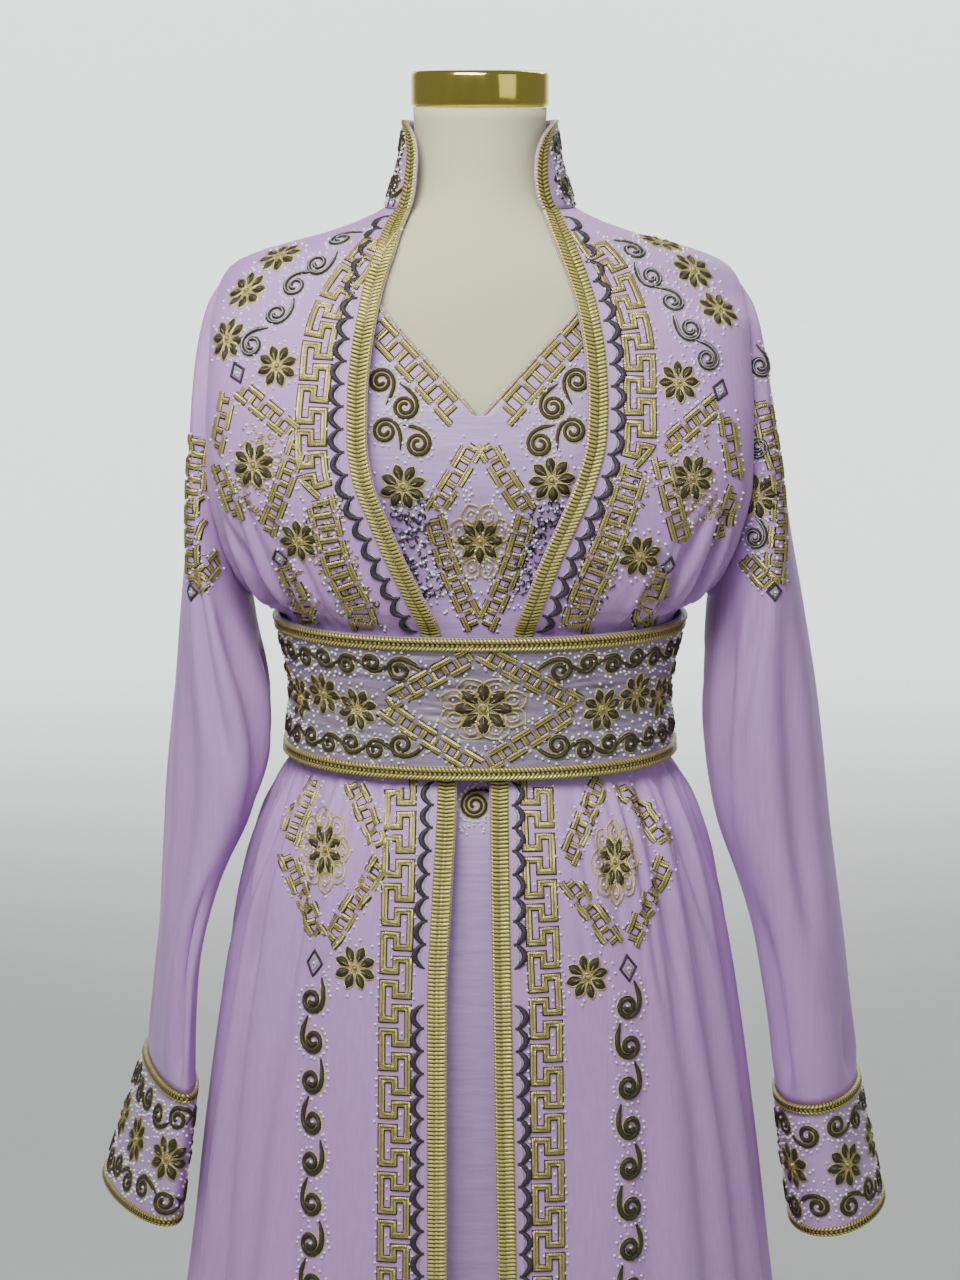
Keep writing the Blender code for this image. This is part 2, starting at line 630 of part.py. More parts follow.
def wall(name, grid, material, thickness, closed=False, outward=False, core=None):
    """A cloth wall from a grid of points on one face. Thickness goes inwards, or outwards for a trim.

    closed joins the last column to the first. core is a point that the wall faces away from."""
    rows, columns = grid.shape[:2]
    index = np.arange(rows * columns).reshape(rows, columns)
    if closed:
        index = np.hstack([index, index[:, :1]])
    corners = (index[:-1, :-1], index[1:, :-1], index[1:, 1:], index[:-1, 1:])
    faces = np.stack([c.ravel() for c in corners], axis=-1)
    points = grid.reshape(-1, 3)
    side_a = points[faces[:, 2]] - points[faces[:, 0]]
    side_b = points[faces[:, 3]] - points[faces[:, 1]]
    middle = points[faces].mean(axis=1)
    away = middle - (np.array(core) if core is not None else middle * [0, 0, 1])
    if (np.cross(side_a, side_b) * away).sum() < 0:
        faces = faces[:, ::-1]
    mesh = bpy.data.meshes.new(name)
    mesh.from_pydata(points.tolist(), [], faces.tolist())
    piece = add_object(name, mesh, material)
    solid = piece.modifiers.new("wall", "SOLIDIFY")
    solid.thickness = thickness
    solid.offset = 1.0 if outward else -1.0
    solid.use_even_offset = True
    OUTER[name] = Face(points, faces)
    return piece


def half_grid(surface, turns, heights):
    """Points of a surface at +X, a row for each height and a column for each turn."""
    return surface(np.asarray(turns)[None, :], np.asarray(heights)[:, None])


def mirrored(grid):
    """The grid of a half made whole about the centre line, which its last column lies on."""
    other = grid[:, -2::-1] * [-1, 1, 1]
    return np.concatenate([grid, other], axis=1)


def front_columns(side, heights):
    """Turns of a robe front's columns: the edge, the braid's inner side, then on to the side seam."""
    heights = np.asarray(heights)
    edge = turn_at_x(robe_point, FRONT_EDGE.at(side, heights), heights)
    step = 1e-3
    speed = np.linalg.norm(robe_point(edge + step, heights) - robe_point(edge, heights), axis=-1) / step
    braid = np.minimum(edge + BRAID_WIDTH / speed, edge + 0.8 * (0.5 - edge))
    first, last = FRONT_TURNS[0], FRONT_TURNS[-1]
    share = (np.array(FRONT_TURNS[1:]) - first) / (last - first)
    rest = braid[:, None] + (0.5 - braid)[:, None] * share[None, :]
    return np.column_stack([edge, braid, rest])


def make_robe():
    """Two fronts that stay open, a back, two sleeves with cuffs, and a stand collar."""
    heights = np.array(ROBE_ROWS)
    for side, sign in SIDE_SIGN.items():
        turns = front_columns(side, heights)
        grid = robe_point(turns, heights[:, None]) * [sign, 1, 1]
        grid[..., 1] -= SEAM_GAP / 2
        wall(f"robe_front_{side}", grid, "lilac_crepe", ROBE_WALL)
    back = half_grid(lambda t, z: robe_point(t, z, back=True), BACK_TURNS, heights)
    back[..., 1] += SEAM_GAP / 2
    wall("robe_back", mirrored(back), "lilac_crepe", ROBE_WALL)
    make_collar()
    for side in SIDE_SIGN:
        make_sleeve(side)


def collar_edge(side, rise):
    """The turn of the collar's front edge, one for each rise."""
    height = NECKLINE + (COLLAR_TOP - NECKLINE) * rise
    return turn_at_x(collar_point, FRONT_EDGE.at(side, height), rise)


COLLAR_RISES = np.array((0.0, 0.15, 0.35, 0.57, 0.80, 1.0))


def collar_columns(side):
    """Turns of one half of the collar, from the front edge past the braid to the back centre."""
    edge = collar_edge(side, COLLAR_RISES)
    braid = edge + 0.060
    share = np.linspace(0, 1, 9)
    rest = braid[:, None] + (1 - braid)[:, None] * share[None, :]
    return np.column_stack([edge, rest])


def make_collar():
    """One stiff band from front edge to front edge round the back of the neck."""
    rises = COLLAR_RISES[:, None]
    right = collar_point(collar_columns("right"), rises) * [-1, 1, 1]
    left = collar_point(collar_columns("left"), rises)
    wall("collar", np.concatenate([right, left[:, -2::-1]], axis=1), "lilac_satin", COLLAR_WALL)


def make_sleeve(side):
    """A sleeve from the armhole to the cuff seam, the stiff cuff, and the cuff's two braids."""
    grid = sleeve_loops(side, SLEEVES[side], first=armhole_loop())
    shoulder_core = grid.mean(axis=(0, 1))
    wall(f"sleeve_{side}", grid, "lilac_crepe", ROBE_WALL, closed=True, core=shoulder_core)
    cuff = sleeve_loops(side, CUFFS[side])
    cuff[..., 2] += SEAM_GAP / 3
    core = cuff.mean(axis=(0, 1))
    wall(f"cuff_{side}", cuff, "lilac_satin", CUFF_WALL, closed=True, core=core)
    for place, loop, other in (("top", cuff[0], cuff[1]), ("hem", cuff[-1], cuff[-2])):
        reach = np.linalg.norm(other - loop, axis=-1, keepdims=True)
        inner = loop + (other - loop) / reach * CUFF_TRIM_HEIGHT
        band = np.array([loop, inner])
        away = band - core
        away[..., 2] = 0
        away /= np.linalg.norm(away, axis=-1, keepdims=True)
        band = band + away * LAYER_GAP
        name = f"cuff_braid_{place}_{side}"
        wall(name, band, "gold_braid", TRIM_WALL, closed=True, outward=True, core=core)


def make_front_braids():
    """The flat braid that borders each robe front, from the collar's tip to the hem."""
    heights = np.array(ROBE_ROWS)
    for side, sign in SIDE_SIGN.items():
        on_collar = collar_point(collar_columns(side)[:, :2], COLLAR_RISES[:, None])
        on_front = robe_point(front_columns(side, heights)[:, :2], heights[:, None])
        on_front[..., 1] -= SEAM_GAP / 2
        on_front[0] = (on_front[0] + on_collar[0]) / 2
        grid = np.concatenate([on_collar[:0:-1], on_front]) * [sign, 1, 1]
        across = grid[:, 1] - grid[:, 0]
        down = np.gradient(grid[:, 0], axis=0)
        away = np.cross(across, down)
        away /= np.linalg.norm(away, axis=-1, keepdims=True)
        away *= np.sign((away * [0, -1, 0]).sum(axis=-1) + sign * away[:, 0])[:, None]
        grid = grid + away[:, None, :] * LAYER_GAP
        wall(f"front_braid_{side}", grid, "gold_braid", TRIM_WALL, outward=True)


def make_under_dress():
    """A sleeveless dress with a V neck: bodice front and back, and skirt front and back."""
    heights = np.array((1.434, 1.426, 1.417, 1.408, 1.398, 1.385, 1.366, 1.340, V_POINT, 1.275, 1.230, 1.165,
                        WAIST_SEAM + SEAM_GAP / 2))
    low, high = BUST["z"], BODICE_SHOULDER
    hollow = BODICE_HOLLOW * np.sin(math.pi * np.clip((heights - low) / (high - low), 0, 1))
    side_turn = 0.5 - hollow
    edge_x = np.where(heights > V_POINT, V_EDGE.at("x", heights), 0.0)
    edge = np.where(edge_x > 0, turn_at_x(bodice_point, edge_x, heights), 0.0)
    share = np.linspace(0, 1, 9)
    turns = edge[:, None] + (side_turn - edge)[:, None] * share
    front = bodice_point(turns, heights[:, None])
    front[..., 1] -= SEAM_GAP / 2
    front = make_mirrored_wall("under_bodice_front", front)
    back_edge = np.where(heights > 1.38, turn_at_back_x(BACK_NECK, heights), 1.0)
    back_turns = (1 - side_turn)[:, None] + (back_edge - 1 + side_turn)[:, None] * share
    back = bodice_point(back_turns, heights[:, None])
    back[..., 1] += SEAM_GAP / 2
    make_mirrored_wall("under_bodice_back", back[:, ::-1])
    skirt_heights = np.array((WAIST_SEAM - SEAM_GAP / 2, BELT_BOTTOM, 1.010, 0.940, 0.840, 0.700, 0.500,
                              0.270, UNDER_HEM))
    for name, first in (("front", 0.0), ("back", 0.5)):
        quarter = half_grid(skirt_point, np.linspace(first, first + 0.5, 9), skirt_heights)
        quarter[..., 1] += SEAM_GAP / 2 * (-1 if name == "front" else 1)
        if name == "front":
            quarter = quarter[:, ::-1]
        wall(f"under_skirt_{name}", mirrored(quarter), "lilac_satin", UNDER_WALL)


def turn_at_back_x(x, z):
    """The turn on the back half at which the bodice is this far from the centre line."""
    low, high = np.full_like(z, 0.5), np.ones_like(z)
    for _ in range(40):
        middle = (low + high) / 2
        beyond = bodice_point(middle, z)[..., 0] > x
        low = np.where(beyond, middle, low)
        high = np.where(beyond, high, middle)
    return (low + high) / 2


def make_mirrored_wall(name, grid):
    """A bodice half whose first column meets its mirror image below the neckline."""
    grid = grid.copy()
    on_centre = np.abs(grid[:, 0, 0]) < 1e-5
    grid[on_centre, 0, 0] = 0.0
    piece = wall(name, grid, "lilac_satin", UNDER_WALL)
    OUTER[name] = OUTER[name].with_mirror_image()
    mirror = piece.modifiers.new("other half", "MIRROR")
    mirror.merge_threshold = 0.00002
    piece.modifiers.move(1, 0)
    return piece


def skirt_point(turn, z):
    """Outer face of the under-dress skirt."""
    turn, z = np.broadcast_arrays(np.asarray(turn, float), np.asarray(z, float))
    exponent = 2 / ROBE_POWER
    across = signed_power(np.sin(math.pi * turn), exponent)
    along = signed_power(np.cos(math.pi * turn), exponent)
    depth = np.where(along > 0, UNDER_SKIRT.at("front", z), UNDER_SKIRT.at("back", z))
    return np.stack([UNDER_SKIRT.at("half_width", z) * across, -depth * along, z], axis=-1)


def make_belt():
    """A stiff belt that meets at the centre back under a flap, with a braid along each edge."""
    turns = np.linspace(0, 1, 21)
    trim = BELT_TRIM_HEIGHT
    heights = np.array((BELT_TOP, BELT_TOP - trim, WAIST, BELT_BOTTOM + trim, BELT_BOTTOM))
    half = half_grid(belt_point, turns, heights)
    half[:, -1, 0] = SEAM_GAP / 2
    whole = np.concatenate([half[:, ::-1], half[:, 1:] * [-1, 1, 1]], axis=1)
    wall("belt", whole, "lilac_satin", BELT_WALL)
    for place, low, high in (
        ("top", BELT_TOP - BELT_TRIM_HEIGHT, BELT_TOP),
        ("bottom", BELT_BOTTOM, BELT_BOTTOM + BELT_TRIM_HEIGHT),
    ):
        band = half_grid(lambda t, z: belt_point(t, z, LAYER_GAP), turns, np.array((high, low)))
        band[:, -1, 0] = SEAM_GAP / 2
        band = np.concatenate([band[:, ::-1], band[:, 1:] * [-1, 1, 1]], axis=1)
        wall(f"belt_braid_{place}", band, "gold_braid", TRIM_WALL, outward=True)
    flap_turns = np.array((0.93, 0.965, 1.0))
    low, high = BELT_BOTTOM + BELT_TRIM_HEIGHT + 0.001, BELT_TOP - BELT_TRIM_HEIGHT - 0.001
    flap_lift = LAYER_GAP + 0.0002
    flap = half_grid(lambda t, z: belt_point(t, z, flap_lift), flap_turns, np.array((high, 1.105, low)))
    wall("belt_flap", mirrored(flap), "lilac_satin", UNDER_WALL, outward=True)


def lift_clear(face, grid, away):
    """Raises the corners of a band until no part of it comes nearer the wall than its seat."""
    grid = grid.copy()
    for _ in range(3):
        raised = np.zeros(grid.shape[:2])
        for i in range(grid.shape[0] - 1):
            for j in range(grid.shape[1] - 1):
                corners = grid[i : i + 2, j : j + 2]
                outward = away[i : i + 2, j : j + 2].mean(axis=(0, 1))
                outward /= np.linalg.norm(outward)
                worst = 0.0
                for u in (0.0, 0.25, 0.5, 0.75, 1.0):
                    for v in (0.0, 0.25, 0.5, 0.75, 1.0):
                        weights = np.outer((1 - u, u), (1 - v, v))[..., None]
                        point = (corners * weights).sum(axis=(0, 1))
                        worst = max(worst, face.burial(point, outward) + TRIM_SEAT)
                raised[i : i + 2, j : j + 2] = np.maximum(raised[i : i + 2, j : j + 2], worst)
        grid += away * raised[..., None]
    return grid


def seat_band(name, on, places, closed=False):
    """A raised band on a wall, from a grid of places across and along it, each an x and a z."""
    face = OUTER[on]
    met = [[face.ahead(*place) for place in row] for row in places]
    grid = np.array([[point for point, _ in row] for row in met])
    away = np.array([[normal for _, normal in row] for row in met])
    grid = grid + away * TRIM_SEAT
    if closed:
        grid = np.concatenate([grid, grid[:, :1]], axis=1)
        away = np.concatenate([away, away[:, :1]], axis=1)
    grid = lift_clear(face, grid, away)
    if closed:
        grid[:, 0] = np.where(away[:, 0] @ [0, 1, 0] < 0, grid[:, 0].T, grid[:, -1].T).T
        grid = grid[:, :-1]
    wall(name, grid, "gold_braid", BAND_RISE, closed=closed, outward=True)


def make_bands():
    """The straight bands beside the robe's front edges, and the diamonds."""
    for part, table, half, step in (
        ("chest", CHEST_BAND, CHEST_BAND_HALF, 0.018),
        ("skirt", SKIRT_BAND, SKIRT_BAND_HALF, 0.050),
    ):
        high, low = table.key[-1], table.key[0]
        heights = np.linspace(high, low, int(round((high - low) / step)) + 1)
        for side, sign in SIDE_SIGN.items():
            middle = np.stack([sign * table.at(side, heights), heights], axis=-1)
            along = np.gradient(middle, axis=0)
            along /= np.linalg.norm(along, axis=-1, keepdims=True)
            across = np.stack([along[:, 1], -along[:, 0]], axis=-1)
            places = [middle + across * offset for offset in (-half, 0, half)]
            seat_band(f"{part}_band_{side}", f"robe_front_{side}", np.array(places).transpose(1, 0, 2))
    corners = np.array([(1, 0), (0, 1), (-1, 0), (0, -1)])
    for diamond in DIAMONDS:
        size = np.array((diamond["wide"], diamond["high"]))
        share = DIAMOND_BAND_HALF * np.linalg.norm(size) / size.prod()
        around = []
        for first, second in zip(corners, np.roll(corners, -1, axis=0)):
            around += [first * (1 - t) + second * t for t in (0, 1 / 3, 2 / 3)]
        middle = np.array((diamond["x"], diamond["z"]))
        rings = [middle + np.array(around) * size * scale for scale in (1 - share, 1, 1 + share)]
        seat_band(diamond["name"], diamond["on"], rings, closed=True)


def make_flower(name, on, x, z, radius):
    """A domed flower whose outline dips between its petals."""
    face = OUTER[on]
    middle, away = face.ahead(x, z)
    level = np.cross([0, 0, 1], away)
    level /= np.linalg.norm(level)
    up = np.cross(away, level)
    count = 2 * PETALS
    angle = np.arange(count) * 2 * math.pi / count
    reach = radius * np.where(np.arange(count) % 2 == 0, 1.0, 0.66)
    flat = np.cos(angle)[:, None] * level + np.sin(angle)[:, None] * up
    ring = np.array([face.seated(middle + r * d, away, TRIM_SEAT) for r, d in zip(reach, flat)])
    centre = middle + away * TRIM_SEAT
    worst = 0.0
    for i in range(count):
        for a, b in ((0.25, 0.25), (0.5, 0.5), (0.5, 0.0), (0.75, 0.0), (1.0, 0.0), (0.2, 0.6), (0.6, 0.2)):
            point = centre + a * (ring[i] - centre) + b * (ring[(i + 1) % count] - centre)
            worst = max(worst, face.burial(point, away) + TRIM_SEAT)
    ring, centre = ring + away * worst, centre + away * worst
    top = ring + away * FLOWER_EDGE
    points = [*ring, centre, *top, centre + away * FLOWER_RISE]
    faces = []
    for i in range(count):
        j = (i + 1) % count
        faces += [(j, i, count), (i, j, count + 1 + j, count + 1 + i)]
        faces += [(count + 1 + i, count + 1 + j, 2 * count + 1)]
    mesh = bpy.data.meshes.new(name)
    mesh.from_pydata([p.tolist() for p in points], [], faces)
    add_object(name, mesh, "antique_thread")


def make_flowers():
    for row in FLOWERS:
        flower = dict(zip(FLOWER_COLUMNS, row))
        make_flower(f"flower_{flower.pop('name')}", **flower)


def cylinder(name, radius, low, high, material, bevel=0.0):
    """An upright round piece with softened rims."""
    bpy.ops.mesh.primitive_cylinder_add(
        vertices=24, radius=radius, depth=high - low, location=(0, 0, (low + high) / 2)
    )
    piece = bpy.context.active_object
    piece.name = name
    piece.data.name = name
    piece.data.materials.append(finish(material))
    piece.data.shade_smooth()
    for collection in list(piece.users_collection):
        collection.objects.unlink(piece)
    bpy.data.collections["Kaftan"].objects.link(piece)
    if bevel:
        rim = piece.modifiers.new("rim", "BEVEL")
        rim.width = bevel
        rim.segments = 1
    return piece


FORM_ROWS = (
    NECK_TOP, 1.4700, 1.4550, 1.4470, NECKLINE, 1.434, 1.426, 1.417, 1.408, 1.398, 1.385,
    1.366, 1.340, V_POINT, 1.275, 1.230, 1.165, WAIST_SEAM, 1.058, 1.000, 0.930, 0.850, FORM_BOTTOM,
)


def make_form():
    """The limbless torso with its neck, the neck's metal cap, and the stand below it."""
    turns = np.linspace(0, 1, 17)
    half = half_grid(form_point, turns, np.array(FORM_ROWS))
    grid = np.concatenate([half, half[:, -2:0:-1] * [-1, 1, 1]], axis=1)
    rows, columns = grid.shape[:2]
    index = np.arange(rows * columns).reshape(rows, columns)
    ring = np.hstack([index, index[:, :1]])
    corners = (ring[:-1, :-1], ring[1:, :-1], ring[1:, 1:], ring[:-1, 1:])
    faces = np.stack([c.ravel() for c in corners], axis=-1).tolist()
    faces += [index[0].tolist(), index[-1][::-1].tolist()]
    mesh = bpy.data.meshes.new("form_torso")
    mesh.from_pydata(grid.reshape(-1, 3).tolist(), [], faces)
    add_object("form_torso", mesh, "form_cloth")
    cap = cylinder("neck_cap", CAP_RADIUS, NECK_TOP + STAND_GAP, CAP_TOP, "gold_metal", 0.0012)
    cap.location.y = 0.001
    socket_top = FORM_BOTTOM - STAND_GAP
    socket_low = socket_top - SOCKET_HEIGHT
    cylinder("form_socket", SOCKET_RADIUS, socket_low, socket_top, "gold_metal")
    cylinder("pole", POLE_RADIUS, FOOT_THICKNESS + STAND_GAP, socket_low - STAND_GAP, "gold_metal")
    cylinder("foot", FOOT_RADIUS, 0.0, FOOT_THICKNESS, "gold_metal", 0.002)


def main():
    for old in list(bpy.data.objects):
        bpy.data.objects.remove(old)
    bpy.context.scene.collection.children.link(bpy.data.collections.new("Kaftan"))
    make_form()
    make_under_dress()
    make_robe()
    make_front_braids()
    make_belt()
    make_bands()
    make_flowers()


main()
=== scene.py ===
"""Looks of a long embroidered kaftan on a limbless dress form: an open robe with a stand collar,
an under-dress, a stiff belt, and cord, braid, flower and bead work.

Metres, +Z up. The front faces -Y, and the wearer's right side is at -X. Cloth pieces are grids of points:
rows run down the garment and columns run round it. A place on the body is given by its turn, 0 at the
front centre, 0.5 at the side and 1 at the back centre, and its height. Embroidery is drawn as lines on
flat paper, and is then laid on the cloth that carries it.
"""

import math

import bpy
import numpy as np
from bpy.props import FloatProperty, FloatVectorProperty, PointerProperty
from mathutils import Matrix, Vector
from mathutils.bvhtree import BVHTree


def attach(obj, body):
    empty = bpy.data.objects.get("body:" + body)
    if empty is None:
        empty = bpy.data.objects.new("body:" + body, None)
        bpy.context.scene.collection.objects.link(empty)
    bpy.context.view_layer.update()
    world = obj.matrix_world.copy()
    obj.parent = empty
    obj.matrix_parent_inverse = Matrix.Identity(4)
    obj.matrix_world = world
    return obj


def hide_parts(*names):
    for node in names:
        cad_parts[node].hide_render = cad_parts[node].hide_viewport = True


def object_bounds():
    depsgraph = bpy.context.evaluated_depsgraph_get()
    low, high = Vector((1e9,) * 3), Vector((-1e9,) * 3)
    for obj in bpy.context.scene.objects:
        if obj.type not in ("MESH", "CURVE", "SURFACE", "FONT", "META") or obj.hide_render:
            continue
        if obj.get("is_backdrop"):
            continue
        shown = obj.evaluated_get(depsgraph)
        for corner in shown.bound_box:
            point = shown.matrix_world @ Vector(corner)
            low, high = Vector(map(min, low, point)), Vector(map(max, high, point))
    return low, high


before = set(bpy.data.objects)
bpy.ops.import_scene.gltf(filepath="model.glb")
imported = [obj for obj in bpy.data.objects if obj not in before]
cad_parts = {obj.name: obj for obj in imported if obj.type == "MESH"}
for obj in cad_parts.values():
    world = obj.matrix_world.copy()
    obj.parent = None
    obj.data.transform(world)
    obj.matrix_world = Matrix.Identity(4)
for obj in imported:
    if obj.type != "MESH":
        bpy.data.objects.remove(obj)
CAD_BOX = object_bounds()

bl_info = {
    "name": "Embroidered kaftan",
    "version": (1, 0, 0),
    "blender": (4, 5, 0),
    "location": "3D View > Sidebar > Kaftan",
    "description": "Builds the cloth, braids, cord work, flowers and beads of a long kaftan, and its stand",
    "category": "Mesh",
}

# Heights that drive the whole garment
FOOT_THICKNESS = 0.010
ROBE_HEM = 0.020
UNDER_HEM = 0.036
FORM_BOTTOM = 0.800
WAIST_SEAM = 1.104
WAIST = 1.106
BELT_BOTTOM = 1.056
BELT_TOP = 1.157
ARMHOLE_BOTTOM = 1.172
ARMHOLE_TOP = 1.398
V_POINT = 1.309
BODICE_SHOULDER = 1.412
NECKLINE = 1.4415
COLLAR_TOP = 1.5065
NECK_TOP = 1.5147
CAP_TOP = 1.5406

# Cloth walls and the spaces between layers
ROBE_WALL = 0.0015
UNDER_WALL = 0.0012
BELT_WALL = 0.0035
TRIM_WALL = 0.0022
SEAM_GAP = 0.0006
LAYER_GAP = 0.0004
FORM_GAP = 0.0013
BRAID_WIDTH = 0.015
BELT_TRIM_HEIGHT = 0.0095
CUFF_TRIM_HEIGHT = 0.0070
ARMHOLE_HALF_DEPTH = 0.060
BODICE_HOLLOW = 0.085
BACK_NECK = 0.088
BACK_NECK_LOW = 1.38
BODICE_TOP = 1.434
ARMHOLE_INSET = 0.0012
REST_PLAY = 0.0005
BELT_PLAY = 0.0007
BUST = {"x": 0.078, "z": 1.275, "rise": 0.012, "spread_x": 0.042, "spread_z": 0.050}
BRIDGE = {"rise": 0.007, "spread_x": 0.040, "spread_z": 0.045}
COLLAR_MOUTH = {"half_width": 0.0537, "front": 0.056, "back": 0.062}
COLLAR_DIP = 0.004
COLLAR_LEAN = 1.6
FLAP_TURNS = (0.93, 1.07)
FLAP_EDGE = 0.0105
FLAP_LIFT = 0.0019

# Stand
FOOT_RADIUS = 0.165
POLE_RADIUS = 0.0125
SOCKET_RADIUS = 0.040
SOCKET_HEIGHT = 0.030
CAP_RADIUS = 0.0487
STAND_GAP = 0.0003


class Table:
    """Rows of sizes against their first column, read on smooth curves that never overshoot a row."""

    def __init__(self, columns, rows):
        data = np.array(sorted(rows), float)
        self.columns = dict(zip(columns, data.T))
        self.key = data[:, 0]

    def at(self, column, where):
        """The column's value at these places along the first column, held beyond its ends."""
        x, y = self.key, self.columns[column]
        step = np.diff(x)
        slope = np.diff(y) / step
        tangent = np.zeros_like(y)
        same_way = slope[:-1] * slope[1:] > 0
        weight_a = 2 * step[1:] + step[:-1]
        weight_b = step[1:] + 2 * step[:-1]
        with np.errstate(divide="ignore", invalid="ignore"):
            mean = (weight_a + weight_b) / (weight_a / slope[:-1] + weight_b / slope[1:])
        tangent[1:-1] = np.where(same_way, mean, 0.0)
        tangent[0], tangent[-1] = slope[0], slope[-1]
        where = np.clip(np.asarray(where, float), x[0], x[-1])
        i = np.clip(np.searchsorted(x, where) - 1, 0, len(step) - 1)
        h = step[i]
        t = (where - x[i]) / h
        return (
            y[i] * (1 + 2 * t) * (1 - t) ** 2
            + tangent[i] * h * t * (1 - t) ** 2
            + y[i + 1] * t * t * (3 - 2 * t)
            + tangent[i + 1] * h * t * t * (t - 1)
        )


FORM = Table(
    ("z", "half_width", "front", "back", "power"),
    (
        (1.5147, 0.0470, 0.0490, 0.0510, 2.0),
        (1.4950, 0.0462, 0.0480, 0.0505, 2.0),
        (1.4700, 0.0470, 0.0490, 0.0530, 2.0),
        (1.4520, 0.0525, 0.0530, 0.0580, 2.0),
        (1.4400, 0.0670, 0.0580, 0.0640, 2.1),
        (1.4330, 0.0810, 0.0620, 0.0680, 2.1),
        (1.4250, 0.1020, 0.0670, 0.0720, 2.2),
        (1.4180, 0.1280, 0.0710, 0.0760, 2.2),
        (1.4100, 0.1560, 0.0750, 0.0800, 2.2),
        (1.4010, 0.1735, 0.0790, 0.0840, 2.2),
        (1.3880, 0.1795, 0.0840, 0.0875, 2.2),
        (1.3650, 0.1800, 0.0900, 0.0905, 2.2),
        (1.3350, 0.1745, 0.0960, 0.0930, 2.2),
        (1.3000, 0.1610, 0.1010, 0.0935, 2.2),
        (1.2600, 0.1490, 0.1030, 0.0910, 2.2),
        (1.2150, 0.1380, 0.0970, 0.0870, 2.2),
        (1.1650, 0.1270, 0.0900, 0.0820, 2.2),
        (1.1100, 0.1190, 0.0860, 0.0780, 2.2),
        (1.0600, 0.1230, 0.0880, 0.0830, 2.2),
        (1.0000, 0.1380, 0.0950, 0.0960, 2.2),
        (0.9300, 0.1520, 0.1010, 0.1090, 2.2),
        (0.8700, 0.1550, 0.1020, 0.1120, 2.2),
        (0.8200, 0.1530, 0.1000, 0.1080, 2.2),
        (0.8000, 0.1480, 0.0950, 0.1030, 2.2),
    ),
)

# How far the under-dress bodice stands off the form, to its outer face
BODICE_EASE = Table(
    ("z", "ease"),
    (
        (1.45, UNDER_WALL + FORM_GAP),
        (1.40, UNDER_WALL + FORM_GAP),
        (1.387, 0.0036),
        (1.376, 0.0074),
        (1.36, 0.0044),
        (1.29, 0.0042),
        (1.20, 0.0030),
        (1.10, 0.0024),
        (1.05, 0.0024),
    ),
)

UNDER_SKIRT = Table(
    ("z", "half_width", "front", "back"),
    (
        (1.104, 0.1225, 0.0895, 0.0810),
        (1.060, 0.1275, 0.0930, 0.0850),
        (1.010, 0.1470, 0.1100, 0.1030),
        (0.970, 0.1580, 0.1200, 0.1160),
        (0.920, 0.1660, 0.1290, 0.1240),
        (0.850, 0.1750, 0.1390, 0.1340),
        (0.760, 0.1860, 0.1510, 0.1460),
        (0.650, 0.1990, 0.1660, 0.1610),
        (0.520, 0.2150, 0.1850, 0.1800),
        (0.380, 0.2330, 0.2050, 0.2010),
        (0.210, 0.2550, 0.2280, 0.2250),
        (0.036, 0.2780, 0.2520, 0.2490),
    ),
)

# The robe below its shoulders: half_width reaches the armhole edge or the side seam
ROBE = Table(
    ("z", "half_width", "front", "back"),
    (
        (1.4415, 0.1860, 0.0800, 0.0850),
        (1.4000, 0.1862, 0.0930, 0.0930),
        (1.3750, 0.1870, 0.1010, 0.0990),
        (1.3400, 0.1885, 0.1120, 0.1030),
        (1.3000, 0.1905, 0.1220, 0.1040),
        (1.2600, 0.1905, 0.1265, 0.1030),
        (1.2200, 0.1835, 0.1240, 0.1010),
        (1.1950, 0.1755, 0.1205, 0.0985),
        (1.1800, 0.1680, 0.1170, 0.0960),
        (1.1700, 0.1590, 0.1135, 0.0935),
        (1.1620, 0.1450, 0.1075, 0.0895),
        (1.1570, 0.1410, 0.1060, 0.0885),
        (1.1060, 0.1305, 0.1000, 0.0850),
        (1.0560, 0.1345, 0.1035, 0.0890),
        (1.0500, 0.1380, 0.1055, 0.0920),
        (1.0400, 0.1460, 0.1115, 0.0990),
        (1.0100, 0.1610, 0.1260, 0.1140),
        (0.9700, 0.1730, 0.1370, 0.1280),
        (0.9200, 0.1825, 0.1460, 0.1390),
        (0.8500, 0.1940, 0.1570, 0.1510),
        (0.7600, 0.2065, 0.1700, 0.1640),
        (0.6500, 0.2210, 0.1860, 0.1800),
        (0.5200, 0.2390, 0.2060, 0.2000),
        (0.3800, 0.2590, 0.2270, 0.2220),
        (0.2100, 0.2840, 0.2520, 0.2500),
        (0.0200, 0.3120, 0.2800, 0.2822),
    ),
)
ROBE_POWER = 2.3
SHOULDER_TOP = 1.402
SHOULDER_END = 1.366

# Inner edge of each robe front, as a distance from the centre line
FRONT_EDGE = Table(
    ("z", "right", "left"),
    (
        (1.5065, 0.0524, 0.0526),
        (1.4931, 0.0455, 0.0428),
        (1.4796, 0.0438, 0.0388),
        (1.4660, 0.0445, 0.0380),
        (1.4524, 0.0460, 0.0395),
        (1.4415, 0.0490, 0.0435),
        (1.4285, 0.0539, 0.0479),
        (1.4150, 0.0580, 0.0533),
        (1.4020, 0.0627, 0.0587),
        (1.3888, 0.0668, 0.0635),
        (1.3755, 0.0696, 0.0669),
        (1.3487, 0.0738, 0.0711),
        (1.3218, 0.0760, 0.0726),
        (1.2948, 0.0762, 0.0715),
        (1.2676, 0.0724, 0.0649),
        (1.2403, 0.0624, 0.0536),
        (1.2128, 0.0510, 0.0415),
        (1.1852, 0.0382, 0.0314),
        (1.1609, 0.0273, 0.0232),
        (1.1050, 0.0200, 0.0130),
        (1.0498, 0.0160, 0.0066),
        (0.9800, 0.0193, 0.0072),
        (0.9070, 0.0227, 0.0085),
        (0.7000, 0.0229, 0.0120),
        (0.3500, 0.0250, 0.0160),
        (0.0200, 0.0280, 0.0200),
    ),
)

